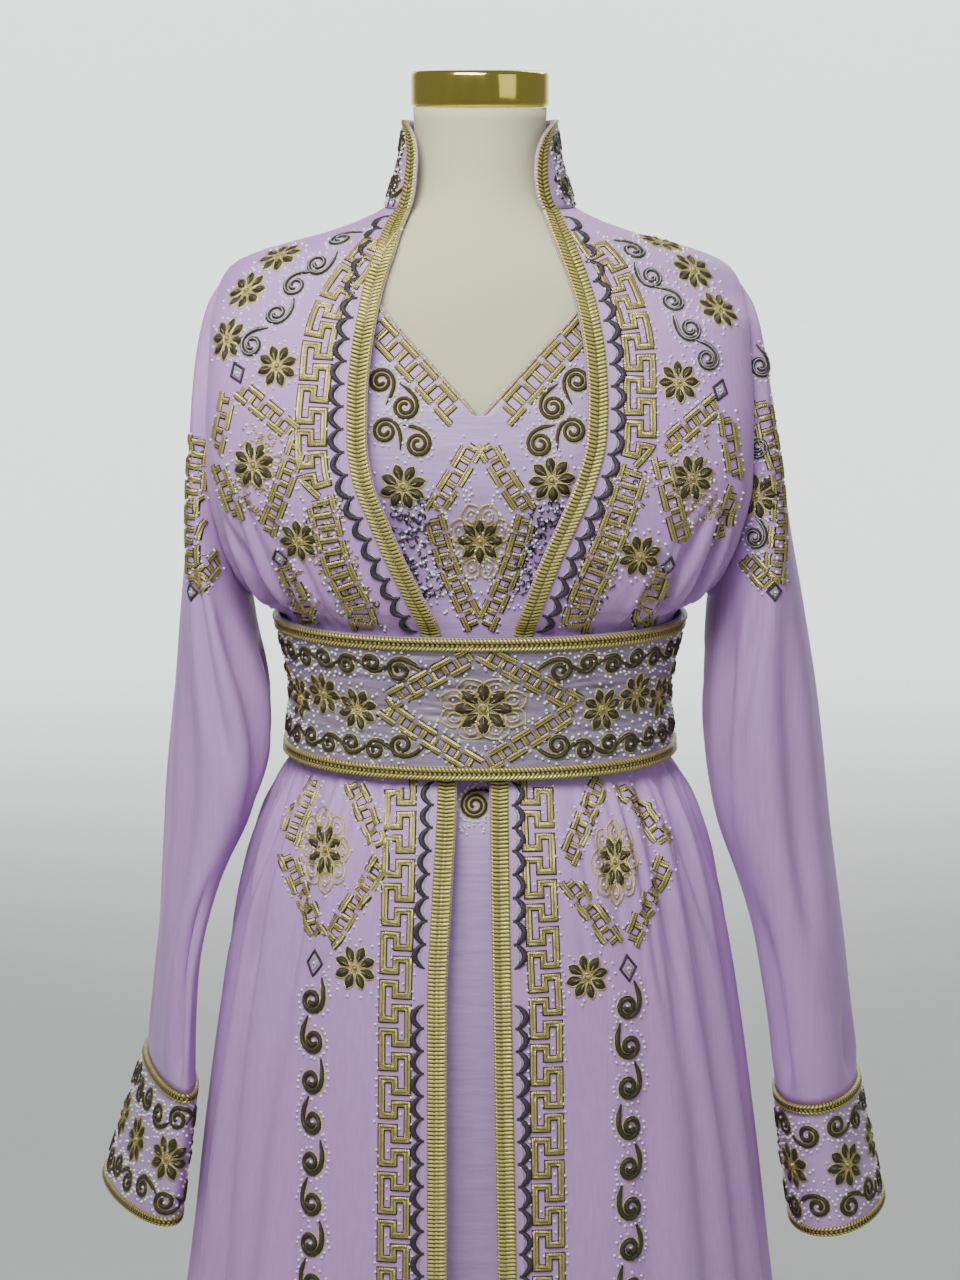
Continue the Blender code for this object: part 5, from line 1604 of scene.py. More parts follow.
    def petal(self, paper, thick, angle, start, end, wide, filled=True):
        """One almond petal: a bright outline, and a dark mound with a vein where it is filled."""
        way = np.array([math.cos(angle), math.sin(angle)])
        side = np.array([-way[1], way[0]])
        share = np.linspace(0, 1, 8)
        reach = start + (end - start) * share
        half = wide * np.sin(math.pi * share**1.15) ** 0.8
        left = reach[:, None] * way + half[:, None] * side
        right = reach[:, None] * way - half[:, None] * side
        outline = np.concatenate([left, right[-2:0:-1]])
        size = self.outline * (1.0 if filled else 1.35)
        self["bright_gold_thread"].cord(paper, outline, np.full(len(outline), size), FINE_CORD, closed=True)
        if filled:
            axis = reach[:, None] * way
            mound = np.maximum(half * thick * 0.95, 0.0003)
            self["antique_thread"].cord(paper, axis, mound, PETAL_MOUND, ends=None)
            vein = np.outer([start + (end - start) * s for s in (0.10, 0.40, 0.66)], way)
            fine = np.full(3, self.outline * 0.5)
            self["gold_thread"].cord(paper, vein, fine, FINE_CORD, lift=wide * thick * 0.5)

    def flower(self, paper, size, turn=0.2, ring=None, middle=(0.0, 0.0)):
        """A flower of dark outlined petals round a small ring, and a ring of open petals behind if asked for.

        size is its radius, or its half width and half height, and ring is the open petals' own.
        """
        size = np.broadcast_to(size, 2)
        inner = Stretched(paper, middle, size)
        thick = float(np.mean(size))
        for k in range(PETALS):
            self.petal(inner, thick, turn + 2 * math.pi * k / PETALS, 0.22, 1.0, 0.235)
        spots = circle(turn + math.pi * (2 * np.arange(PETALS) + 1) / PETALS)
        if ring:
            outer = Stretched(paper, middle, ring)
            for k in range(PETALS):
                angle = turn + math.pi * (2 * k + 1) / PETALS
                self.petal(outer, thick, angle, 0.40, 1.0, 0.30, False)
                self.petal(outer, thick, angle, 0.50, 0.84, 0.15, False)
            self.scatter(outer, spots * 0.72, 1.0, 0.004)
            self.scatter(outer, spots * 1.08, 0.75, 0.02)
        else:
            self.scatter(inner, spots * 1.02, 0.85, 0.02)
            self.scatter(inner, even_round(14) * 1.26, 0.75, 0.04)
        eye = 0.16 * even_round(10)
        self["bright_gold_thread"].cord(inner, eye, np.full(10, self.outline * 1.3), closed=True)
        self["gold_thread"].beads(inner, [(0.0, 0.0)], 0.12 * thick)

    def lozenge(self, paper, wide, high, tilt):
        """A small dark diamond round the paper's middle, with a light one inside."""
        corners = np.array([(0, high), (wide, 0), (0, -high), (-wide, 0)], float)
        spin = np.array([[math.cos(tilt), math.sin(tilt)], [-math.sin(tilt), math.cos(tilt)]])
        corners = corners @ spin
        self["plum_cord"].cord(paper, corners, 0.0010, closed=True)
        self["silver_cord"].cord(paper, corners * 0.5, 0.0007, closed=True)
        self.scatter(paper, [(0, 0)], 1.0, 0.0001)

    def scallops(self, paper, low, high, start, bulge, aside, period=SCALLOP_PERIOD):
        """A chain of arcs beside a braid: a thick plum cord, and a fine light one inside each arc."""
        count = max(1, int(round((high - low) / period)))
        period = (high - low) / count
        share = np.linspace(0, 1, 11)
        for k in range(count):
            along = low + period * (k + 1.10 * share - 0.05)
            arch = np.sin(math.pi * share) ** 0.75
            half = 0.0011 + 0.0013 * np.sin(math.pi * share)
            self["plum_cord"].cord(paper, np.stack([along, aside * (start + bulge * arch)], axis=-1), half)
            inner = np.stack([along, aside * (start + (bulge - 0.0039) * arch)], axis=-1)[1:-1]
            self["silver_cord"].cord(paper, inner, np.full(len(inner), 0.0008), FINE_CORD)

    def filling(self, paper, low, high, half, density=16000, finish="gold_thread"):
        """Dense short curls of thread and many beads, as a worked ground along a strip."""
        count = int((high - low) * 2 * half * density)
        for _ in range(count):
            spot = np.array([self.chance.uniform(low, high), self.chance.uniform(-half, half)])
            around = np.linspace(0, self.chance.uniform(2.0, 4.2), 5) + self.chance.uniform(0, 6.28)
            size = self.chance.uniform(0.0012, 0.0026)
            curl = spot + size * circle(around)
            self[finish].cord(paper, curl, np.full(5, 0.0007), FINE_CORD)
        spots = [self.chance.uniform(low, high, count), self.chance.uniform(-half, half, count)]
        spots = np.stack(spots, axis=-1)
        self.scatter(paper, spots[: int(BEADS_PER_AREA * (high - low) * 2 * half)])

    def sewn(self, replaces=None):
        """Makes the meshes. replaces names the nodes that each finish stands for."""
        replaces = replaces or {}
        for finish, work in self.works.items():
            work.make(f"{self.name}_{finish}", finish, replaces.get(finish, ()))


ROBE_HEIGHTS = np.unique(np.round(np.concatenate([
    np.arange(ROBE_HEM, 0.85, 0.011), np.arange(0.85, 1.04, 0.0052), np.arange(1.04, 1.16, 0.0065),
    np.arange(1.16, 1.34, 0.0042), np.arange(1.34, NECKLINE, 0.0036), [NECKLINE, ROBE_HEM],
    (ARMHOLE_TOP + ARMHOLE_BOTTOM) / 2
    + (ARMHOLE_TOP - ARMHOLE_BOTTOM) / 2 * np.cos(np.linspace(0, math.pi, 33)),
]), 5))[::-1]


def robe_front_grid(side):
    """Points of a robe front, its first column on the open edge and its last on the side seam."""
    heights = ROBE_HEIGHTS
    edge = turn_at_x(robe_point, FRONT_EDGE.at(side, heights), heights)
    share = np.linspace(0, 1, 86) ** 0.92
    turns = edge[:, None] + (0.5 - edge)[:, None] * share[None, :]
    return robe_skin(f"robe_front_{side}", turns, heights[:, None]) * [SIDE_SIGN[side], 1, 1]


def braid_edge(side, heights):
    """The turn of a robe front's open edge at these heights, and the turn that its braid covers there."""
    edge = turn_at_x(robe_point, FRONT_EDGE.at(side, heights), heights)
    speed = np.linalg.norm(robe_point(edge + 1e-3, heights) - robe_point(edge, heights), axis=-1) / 1e-3
    return edge, np.minimum(BRAID_WIDTH / speed, 0.8 * (0.5 - edge))


def fine_sleeve_loops(side, rows, first, sides, steps):
    """Smooth loops of a sleeve or cuff, more than its table gives."""
    angle = np.arange(sides) * 2 * math.pi / sides
    loops = [] if first is None else [first * [SIDE_SIGN[side], 1, 1]]
    for row in rows:
        size = dict(zip(SLEEVE_COLUMNS, row))
        share = (1 + np.cos(angle)) / 2
        x = size["inner_x"] + (size["outer_x"] - size["inner_x"]) * share + size["bow"] * np.sin(angle) ** 2
        z = size["inner_z"] + (size["outer_z"] - size["inner_z"]) * share
        y = size["set_back"] * np.cos(angle) - size["half_depth"] * np.sin(angle)
        loops.append(np.stack([SIDE_SIGN[side] * x, y, z], axis=-1))
    fine = [bent(*run, t) for run in runs(loops) for t in np.linspace(0, 1, steps, endpoint=False)]
    return np.array([*fine, loops[-1]])


def fine_armhole(sides):
    """The armhole's loop at +X, a little inside the robe's edge so that no gap shows."""
    angle = np.arange(sides) * 2 * math.pi / sides
    z = (ARMHOLE_TOP + ARMHOLE_BOTTOM) / 2 + (ARMHOLE_TOP - ARMHOLE_BOTTOM) / 2 * np.cos(angle)
    turn = np.full_like(z, 0.5)
    loop = np.where((np.sin(angle) >= 0)[:, None], robe_point(turn, z), robe_point(turn, z, back=True))
    loop[:, 0] -= ARMHOLE_INSET
    return loop


def pressed(grid, creases, core):
    """A closed grid with creases pressed into it."""
    skin = Skin(grid, closed=True, core=core)
    across, down = np.meshgrid(skin.across[:-1], skin.down)
    depth = crease_depth(across, down, creases)
    depth = depth * smoothstep(down, 0.0, 0.03) * (1 - smoothstep(down, skin.down[-1] - 0.03, skin.down[-1]))
    return grid - skin.normals * depth[..., None]


def lathe(name, outline, node, sides=96, middle=(0.0, 0.0)):
    """A turned metal piece from an outline of (radius, height), top first."""
    angle = np.arange(sides) * 2 * math.pi / sides
    rings = [
        np.stack([middle[0] + r * np.cos(angle), middle[1] + r * np.sin(angle), np.full(sides, z)], axis=-1)
        for r, z in outline
    ]
    grid = np.array(rings)
    skin = Skin(grid, closed=True, core=(middle[0], middle[1], (outline[0][1] + outline[-1][1]) / 2))
    work = Work()
    work.cover(skin)
    work.make(name, "polished_brass", (node,))


class KAFTAN_OT_form(bpy.types.Operator):
    """Make the limbless form with its neck cap, and the socket, pole and foot below it."""

    bl_idname = "kaftan.form"
    bl_label = "Dress form and stand"

    def execute(self, context):
        heights = np.linspace(NECK_TOP, FORM_BOTTOM, 96)
        turns = np.linspace(0, 2, 81)[:-1]
        body = form_point(turns[None, :], heights[:, None])
        low, high = body[-1], body[0]
        centre = np.array([0, 0, FORM_BOTTOM])
        under = [centre + (low - centre) * share for share in (0.97, 0.7, 0.35, 0.002)]
        over_centre = np.array([0, 0.001, NECK_TOP])
        over = [over_centre + (high - over_centre) * share for share in (0.002, 0.5, 0.97)]
        work = Work()
        work.cover(Skin(np.concatenate([over, body, under]), closed=True, core=(0, 0, 1.15)))
        work.make("dress_form_torso", "ivory_cotton", ("form_torso",))
        rim = 0.0016
        lathe("neck_cap_turned", (
            (0.0004, CAP_TOP), (0.030, CAP_TOP - 0.0001), (CAP_RADIUS - 3 * rim, CAP_TOP - 0.0004),
            (CAP_RADIUS - rim, CAP_TOP - 0.0009), (CAP_RADIUS - 0.3 * rim, CAP_TOP - 0.0020),
            (CAP_RADIUS, CAP_TOP - 0.0036), (CAP_RADIUS, (CAP_TOP + NECK_TOP) / 2),
            (CAP_RADIUS, NECK_TOP + 0.003), (CAP_RADIUS - 0.0004, NECK_TOP + 0.0012),
            (CAP_RADIUS - 0.0014, NECK_TOP + 0.0003), (0.0004, NECK_TOP + 0.0003),
        ), "neck_cap", middle=(0.0, 0.001))
        socket_top = FORM_BOTTOM - STAND_GAP
        socket_low = socket_top - SOCKET_HEIGHT
        lathe("socket_turned", (
            (0.0004, socket_top), (SOCKET_RADIUS - 0.002, socket_top), (SOCKET_RADIUS, socket_top - 0.002),
            (SOCKET_RADIUS, socket_top - 0.010), (SOCKET_RADIUS - 0.006, socket_top - 0.016),
            (SOCKET_RADIUS - 0.018, socket_low + 0.006), (SOCKET_RADIUS - 0.020, socket_low + 0.001),
            (0.0004, socket_low),
        ), "form_socket")
        lathe("pole_turned", (
            (0.0004, socket_low - STAND_GAP), (POLE_RADIUS, socket_low - STAND_GAP), (POLE_RADIUS, 0.60),
            (POLE_RADIUS, 0.42), (POLE_RADIUS + 0.0002, 0.20), (POLE_RADIUS, FOOT_THICKNESS + STAND_GAP),
            (0.0004, FOOT_THICKNESS + STAND_GAP),
        ), "pole")
        lathe("foot_turned", (
            (0.0004, FOOT_THICKNESS), (0.08, FOOT_THICKNESS - 0.0001),
            (FOOT_RADIUS - 0.006, FOOT_THICKNESS - 0.0004),
            (FOOT_RADIUS - 0.0022, FOOT_THICKNESS - 0.0014), (FOOT_RADIUS, FOOT_THICKNESS - 0.004),
            (FOOT_RADIUS, 0.0012), (FOOT_RADIUS - 0.0012, 0.0), (0.0004, 0.0),
        ), "foot")
        return {"FINISHED"}


class KAFTAN_OT_under_dress(bpy.types.Operator):
    """Make the under-dress: bodice front and back, skirt front and back."""

    bl_idname = "kaftan.under_dress"
    bl_label = "Under-dress"

    def execute(self, context):
        heights = np.linspace(BODICE_TOP, WAIST_SEAM, 72)
        heights = np.unique(np.concatenate([heights, [V_POINT, V_POINT + 0.001]]))[::-1]
        low, high = BUST["z"], BODICE_SHOULDER
        hollow = BODICE_HOLLOW * np.sin(math.pi * np.clip((heights - low) / (high - low), 0, 1))
        side_turn = 0.5 - hollow
        edge_x = np.where(heights > V_POINT, V_EDGE.at("x", heights), 0.0)
        edge = np.where(edge_x > 0, turn_at_x(bodice_point, edge_x, heights), 0.0)
        share = np.linspace(0, 1, 35)
        half = bodice_point(edge[:, None] + (side_turn - edge)[:, None] * share, heights[:, None])
        half[heights <= V_POINT, 0, 0] = 0.0
        half[..., 1] -= 0.0003 + 0.00025 * np.sin(half[..., 2] * 260) * np.exp(-((half[..., 0] / 0.05) ** 2))
        left = Skin(half, outwards=(0, -1, 0))
        right = Skin(half[:, ::-1] * [-1, 1, 1], outwards=(0, -1, 0))
        whole = Skin(np.concatenate([half[:, ::-1] * [-1, 1, 1], half], axis=1), outwards=(0, -1, 0))
        SKINS["bodice"] = whole
        shell("bodice_front", [left, right], "lilac_satin", "under_bodice_front", sizes().cloth,
              merge=True)
        back_edge = turn_at_x(bodice_point, BACK_NECK, heights, low=1.0)
        back_edge = np.where(heights > BACK_NECK_LOW, back_edge, 1.0)
        back_turns = (1 - side_turn)[:, None] + (back_edge - 1 + side_turn)[:, None] * share
        back = bodice_point(back_turns, heights[:, None])
        back[..., 1] += 0.0003
        back[heights <= BACK_NECK_LOW, -1, 0] = 0.0
        parts = [Skin(back, outwards=(0, 1, 0)), Skin(back[:, ::-1] * [-1, 1, 1], outwards=(0, 1, 0))]
        shell("bodice_back", parts, "lilac_satin", "under_bodice_back", sizes().cloth,
              merge=True)
        rows = np.concatenate([
            np.arange(WAIST_SEAM, 0.9, -0.010), np.arange(0.9, UNDER_HEM, -0.019), [UNDER_HEM],
        ])
        for name, first in (("front", -0.5), ("back", 0.5)):
            turns = np.linspace(first, first + 1.0, 91)
            grid = skirt_point(turns[None, :], rows[:, None])
            sway = smoothstep(1.05 - grid[..., 2], 0.0, 0.6)
            wave = 0.0035 * np.sin(turns * 41 + 0.6)[None, :] + 0.0022 * np.sin(turns * 67 + 1.9)[None, :]
            away = normal_of(skirt_point, turns[None, :], rows[:, None])
            grid = grid - away * (sway * (0.0057 + wave))[..., None]
            skin = Skin(grid, outwards=(0, -1 if name == "front" else 1, 0))
            SKINS[f"skirt_{name}"] = skin
            shell(f"skirt_{name}", [skin], "lilac_satin", f"under_skirt_{name}", sizes().cloth)
        return {"FINISHED"}


class KAFTAN_OT_robe(bpy.types.Operator):
    """Make the open robe: two fronts and the back."""

    bl_idname = "kaftan.robe"
    bl_label = "Robe"

    def execute(self, context):
        for side in SIDE_SIGN:
            skin = Skin(robe_front_grid(side), outwards=(SIDE_SIGN[side] * 0.6, -0.8, 0))
            SKINS[f"robe_front_{side}"] = skin
            shell(f"front_{side}", [skin], "lilac_crepe", f"robe_front_{side}", sizes().cloth)
        heights = np.append(ROBE_HEIGHTS[:-1:2], ROBE_HEM)
        half_turns = np.linspace(0.5, 1.0, 56)
        half = robe_skin("robe_back", half_turns[None, :], heights[:, None])
        half[:, -1, 0] = 0.0
        grid = np.concatenate([half, half[:, -2::-1] * [-1, 1, 1]], axis=1)
        shell("back", [Skin(grid, outwards=(0, 1, 0))], "lilac_crepe", "robe_back", sizes().cloth)
        return {"FINISHED"}


class KAFTAN_OT_sleeves(bpy.types.Operator):
    """Make the two sleeves with their stiff cuffs and the braids round the cuffs."""

    bl_idname = "kaftan.sleeves"
    bl_label = "Sleeves and cuffs"

    def execute(self, context):
        for side in SIDE_SIGN:
            grid = fine_sleeve_loops(side, SLEEVES[side], fine_armhole(64), 64, 8)
            core = grid.mean(axis=(0, 1))
            grid = pressed(grid, CREASES[f"sleeve_{side}"], core)
            skin = Skin(grid, closed=True, core=core)
            SKINS[f"sleeve_{side}"] = skin
            shell(f"arm_{side}", [skin], "lilac_crepe", f"sleeve_{side}", sizes().cloth)
            cuff = fine_sleeve_loops(side, CUFFS[side], None, 64, 8)
            core = cuff.mean(axis=(0, 1))
            skin = Skin(cuff, closed=True, core=core)
            SKINS[f"cuff_{side}"] = skin
            shell(f"stiff_cuff_{side}", [skin], "lilac_satin", f"cuff_{side}", sizes().stiff)
            self.trim(side, skin)
        return {"FINISHED"}

    def trim(self, side, skin):
        """A rounded braid round each edge of the cuff."""
        half = CUFF_TRIM_HEIGHT / 2
        size = skin.across[-1]
        around = np.linspace(0, size, 110, endpoint=False)
        for place, down in (("top", half * 0.9), ("hem", skin.down[-1] - half * 0.9)):
            work = Work()
            line = np.stack([around, np.full_like(around, down)], axis=-1)
            work.cord(skin, line, np.full(len(line), half * 1.02), FLAT_BRAID, closed=True)
            work.make(f"cuff_trim_{place}_{side}", "trim_gold", (f"cuff_braid_{place}_{side}",))


FLAT_BRAID = (
    (-1.0, -0.2), (-0.94, 0.22), (-0.74, 0.52), (-0.48, 0.54), (-0.26, 0.20), (0.0, 0.34), (0.26, 0.20),
    (0.48, 0.54), (0.74, 0.52), (0.94, 0.22), (1.0, -0.2),
)


class KAFTAN_OT_collar(bpy.types.Operator):
    """Make the stand collar."""

    bl_idname = "kaftan.collar"
    bl_label = "Stand collar"

    def execute(self, context):
        rises = np.linspace(0, 1, 20)
        halves = []
        for side, sign in SIDE_SIGN.items():
            edge = collar_edge(side, rises)
            turns = edge[:, None] + (1 - edge)[:, None] * np.linspace(0, 1, 70)
            halves.append(collar_point(turns, rises[:, None]) * [sign, 1, 1])
        right, left = halves
        grid = np.concatenate([right, left[:, -2::-1]], axis=1)[::-1]
        skin = Skin(grid, core=(0, 0, 1.47))
        SKINS["collar"] = skin
        shell("stand_collar", [skin], "lilac_satin", "collar", sizes().stiff)
        return {"FINISHED"}


def collar_edge(side, rise):
    """The turn of the collar's front edge, one for each rise."""
    height = NECKLINE + (COLLAR_TOP - NECKLINE) * rise
    return turn_at_x(collar_point, FRONT_EDGE.at(side, height), rise)


class KAFTAN_OT_front_braids(bpy.types.Operator):
    """Make the plaited braid that borders each robe front, from the collar's tip to the hem."""

    bl_idname = "kaftan.front_braids"
    bl_label = "Front braids"

    def execute(self, context):
        share = np.array((0.0, 0.06, 0.15, 0.28, 0.42, 0.5, 0.58, 0.72, 0.85, 0.94, 1.0))
        heights = np.arange(NECKLINE, ROBE_HEM, -RUNG_PERIOD / 4)
        heights[-1] = ROBE_HEM
        rises = np.arange(1.0, 0.0, -RUNG_PERIOD / 4 / (COLLAR_TOP - NECKLINE))
        for side, sign in SIDE_SIGN.items():
            edge = collar_edge(side, rises)
            on_collar = collar_point(edge[:, None] + 0.060 * share, rises[:, None])
            edge, wide = braid_edge(side, heights)
            on_front = robe_point(edge[:, None] + wide[:, None] * share, heights[:, None])
            grid = np.concatenate([on_collar, on_front]) * [sign, 1, 1]
            skin = Skin(grid, outwards=(0, -1, 0))
            walked = skin.down[:, None]
            fold = np.abs(share - 0.5)[None, :]
            lean = np.interp(grid[:, :1, 2], LEAN_HEIGHTS, LEANS)
            rung = np.abs(np.sin(math.pi * (walked / RUNG_PERIOD + lean * fold))) ** 0.8
            rims = np.exp(-(((share - 0.08) / 0.06) ** 2)) + np.exp(-(((share - 0.92) / 0.06) ** 2))
            seam = np.exp(-(((share - 0.5) / 0.06) ** 2))
            height = 0.0005 + 0.0012 * rung * (1 - rims) * (1 - 0.8 * seam) + 0.0013 * rims - 0.0002 * seam
            height = height * np.ones_like(walked)
            height[:, [0, -1]] = -0.0012
            work = Work()
            work.cover(skin, grid + skin.normals * height[..., None])
            work.make(f"plaited_braid_{side}", "plaited_gold", (f"front_braid_{side}",))
        return {"FINISHED"}


class KAFTAN_OT_belt(bpy.types.Operator):
    """Make the stiff belt with its puckers, the flap at the back, and the braids along its edges."""

    bl_idname = "kaftan.belt"
    bl_label = "Belt"

    def execute(self, context):
        heights = np.linspace(BELT_TOP, BELT_BOTTOM, 75)
        turns = np.linspace(-1, 1, 251)
        grid = belt_point(turns[None, :], heights[:, None])
        smooth = Skin(grid, core=(0, 0, WAIST))
        across, down = np.meshgrid(smooth.across, smooth.down)
        chance = np.random.default_rng(11)
        puckers = []
        for _ in range(260):
            start, level = chance.uniform(0, smooth.across[-1]), chance.uniform(0.012, 0.091)
            reach = chance.uniform(0.018, 0.075)
            drop, width, deep, bow = (chance.uniform(*ends) for ends in (
                (-0.004, 0.004), (0.0012, 0.0020), (0.0004, 0.0010), (-0.002, 0.002)))
            puckers.append((start, level, start + reach, level + drop, width, deep, bow))
        grid = grid - smooth.normals * crease_depth(across, down, puckers)[..., None]
        skin = Skin(grid, core=(0, 0, WAIST))
        SKINS["belt"] = skin
        shell("stiff_belt", [skin], "belt_satin", "belt", 2 * sizes().stiff)
        flap_turns = np.linspace(*FLAP_TURNS, 31)
        flap_heights = np.linspace(BELT_TOP - FLAP_EDGE, BELT_BOTTOM + FLAP_EDGE, 24)
        flap = Skin(belt_point(flap_turns[None, :], flap_heights[:, None], FLAP_LIFT), core=(0, 0, WAIST))
        shell("belt_closing_flap", [flap], "belt_satin", "belt_flap", sizes().cloth)
        size, half = skin.across[-1], BELT_TRIM_HEIGHT / 2
        around = np.linspace(0.0004, size - 0.0004, 330)
        for place, down in (("top", half), ("bottom", skin.down[-1] - half)):
            work = Work()
            line = np.stack([around, np.full_like(around, down)], axis=-1)
            work.cord(skin, line, np.full(len(line), half), FLAT_BRAID, ends=None)
            work.make(f"belt_trim_{place}", "trim_gold", (f"belt_braid_{place}",))
        return {"FINISHED"}


# Embroidery of each side as seen in the frame, in pixels: lines, flowers (place, radius in metres, turn,
# double or not), curls and small diamonds
CHEST = {
    "right": {
        "band": ((388, 228), (376, 242), (334, 298), (319.5, 340),
                 (315, 380), (311, 424), (312, 469), (319, 497)),
        "ladder": ((319, 497), (337, 565), (360, 612), (368, 640)),
        "low_band": ((282, 562), (296, 590), (310, 626)),
        "diamond": (((239, 388), (294, 434)), ((299, 441), (266, 534)),
                    ((228, 393), (216, 452)), ((216, 462), (238, 520))),
        "flowers": (
            ((247, 291), 0.0160, 0.2), ((280, 256), 0.0160, 0.5), ((228, 339), 0.0155, 0.0),
            ((277, 366), 0.0150, 0.35), ((299, 541), 0.0150, 0.1), ((253.5, 465), 0.0165, 0.3),
        ),
        "ground": ((264, 428), (254, 465), (246, 508)),
        "curls": ((341, 240), (318, 264), (295, 286), (277, 314), (252, 345)),
        "lozenges": (((237.5, 372.6), 0.0055, 0.0075, 0.5), ((279.6, 558.6), 0.0055, 0.0070, 0.2)),
    },
    "left": {
        "band": ((584, 233), (596, 248), (613, 270), (631, 312),
                 (639, 354), (640, 400), (640, 441), (635, 467)),
        "ladder": ((635, 467), (617, 523), (599, 565), (583, 600), (572, 636)),
        "low_band": ((664, 568), (653, 592), (641, 626)),
        "diamond": (((718, 402), (664, 448)), ((661, 456), (683, 545)),
                    ((726, 412), (736, 481)), ((736, 488), (712, 540))),
        "flowers": (
            ((661, 243), 0.0160, 0.1), ((693, 269.6), 0.0160, 0.4), ((718.5, 309.4), 0.0155, 0.2),
            ((679, 382), 0.0150, 0.0), ((640, 556), 0.0155, 0.3), ((692, 478), 0.0165, 0.3),
        ),
        "ground": ((688, 436), (692, 478), (704, 520)),
        "curls": ((633, 251), (651, 277), (672, 302), (690, 329), (707, 359)),
        "lozenges": (((720, 390), 0.0055, 0.0075, -0.4), ((668, 566), 0.0050, 0.0070, -0.2)),
    },
}
SKIRT = {
    "right": {
        "band": ((400, 768), (400, 800), (399, 850), (398, 900), (396, 968), (395, 1010)),
        "diamond": (((315, 778), (288, 842)), ((352, 780), (381, 850)),
                    ((286, 852), (319, 938)), ((382, 862), (329, 942))),
        "flowers": (
            ((325, 850), (0.0125, 0.0195), 0.39, (0.0178, 0.0305)), ((355, 968), 0.0160, 0.4),
        ),
        "lozenge": ((314, 963), 0.0062, 0.0090, 0.0),
    },
    "left": {
        "band": ((536, 768), (537, 800), (539, 850), (541, 900), (544, 970), (546, 1012)),
        "diamond": (((602, 778), (567, 862)), ((620, 782), (667, 846)),
                    ((567, 878), (617, 946)), ((667, 858), (630, 944))),
        "flowers": (
            ((615, 862), (0.0125, 0.0195), 0.39, (0.0178, 0.0305)), ((587, 977), 0.0160, 0.2),
        ),
        "lozenge": ((628, 968), 0.0062, 0.0090, 0.0),
    },
}
WHEELS = (((98, 381), (74, 407)), ((94, 431), (61, 444)))
SLEEVE_WORK = {
    "right": {
        "band": ((200, 436), (194, 470), (190, 510), (189, 550), (191, 584)),
        "arm": ((194, 588), (220, 557)),
        "flowers": (),
        "curls": (),
        "lozenge": ((191, 592), 0.0045, 0.0060, 0.0),
    },
    "left": {
        "band": ((760, 398), (768, 430), (777, 462), (781, 500), (780, 545), (775, 584)),
        "arm": ((773, 588), (744, 556)),
        "flowers": (((757, 496), 0.0165, 0.2),),
        "curls": ((760, 366), (758, 447), (755, 537)),
        "lozenge": ((775, 592), 0.0050, 0.0060, 0.0),
    },
}


def outer_braid_strip(side):
    """The strip along the braid's inner rim on the robe front, from the neckline down to the hem."""
    skin = SKINS[f"robe_front_{side}"]
    heights = np.arange(NECKLINE - 0.002, ROBE_HEM + 0.004, -0.004)
    edge, wide = braid_edge(side, heights)
    points = robe_point(edge + wide, heights) * [SIDE_SIGN[side], 1, 1]
    normals = normal_of(robe_point, edge + wide, heights) * [SIDE_SIGN[side], 1, 1]
    return Strip(skin, *skin.seat(points, normals)), heights


def walk_to(strip, heights, z):
    """How far along a strip it comes down to this height."""
    return float(np.interp(-z, -heights[: len(strip.where)], strip.where))


def flowers_seen(work, skin, flowers):
    """Flowers, each a place in the frame, a size and a turn, and the outer ring's size where there is one."""
    for place, size, turn, *ring in flowers:
        work.flower(patch_seen(skin, *place), size, turn, *ring)


def curl_chain(work, skin, places, radius, hand):
    """Curls at places in the frame, each with a tail towards the one before."""
    for k, place in enumerate(places):
        patch = patch_seen(skin, *place)
        before = places[k - 1] if k else (2 * place[0] - places[1][0], 2 * place[1] - places[1][1])
        heading = math.atan2(-(before[1] - place[1]), before[0] - place[0])
        work.scroll(patch, (0, 0), radius, heading, hand if k % 2 else -hand, tail=1.9, silvery=True)


def diamond_bands(work, skin, sides, half, period):
    """Square-cut bands along the straight sides of a diamond given in the frame."""
    for start, end in sides:
        strip = strip_seen(skin, [start, ((start[0] + end[0]) / 2, (start[1] + end[1]) / 2), end])
        if strip.size > 0.02:
            work.tee_fret(strip, 0.0, strip.size, half, period)


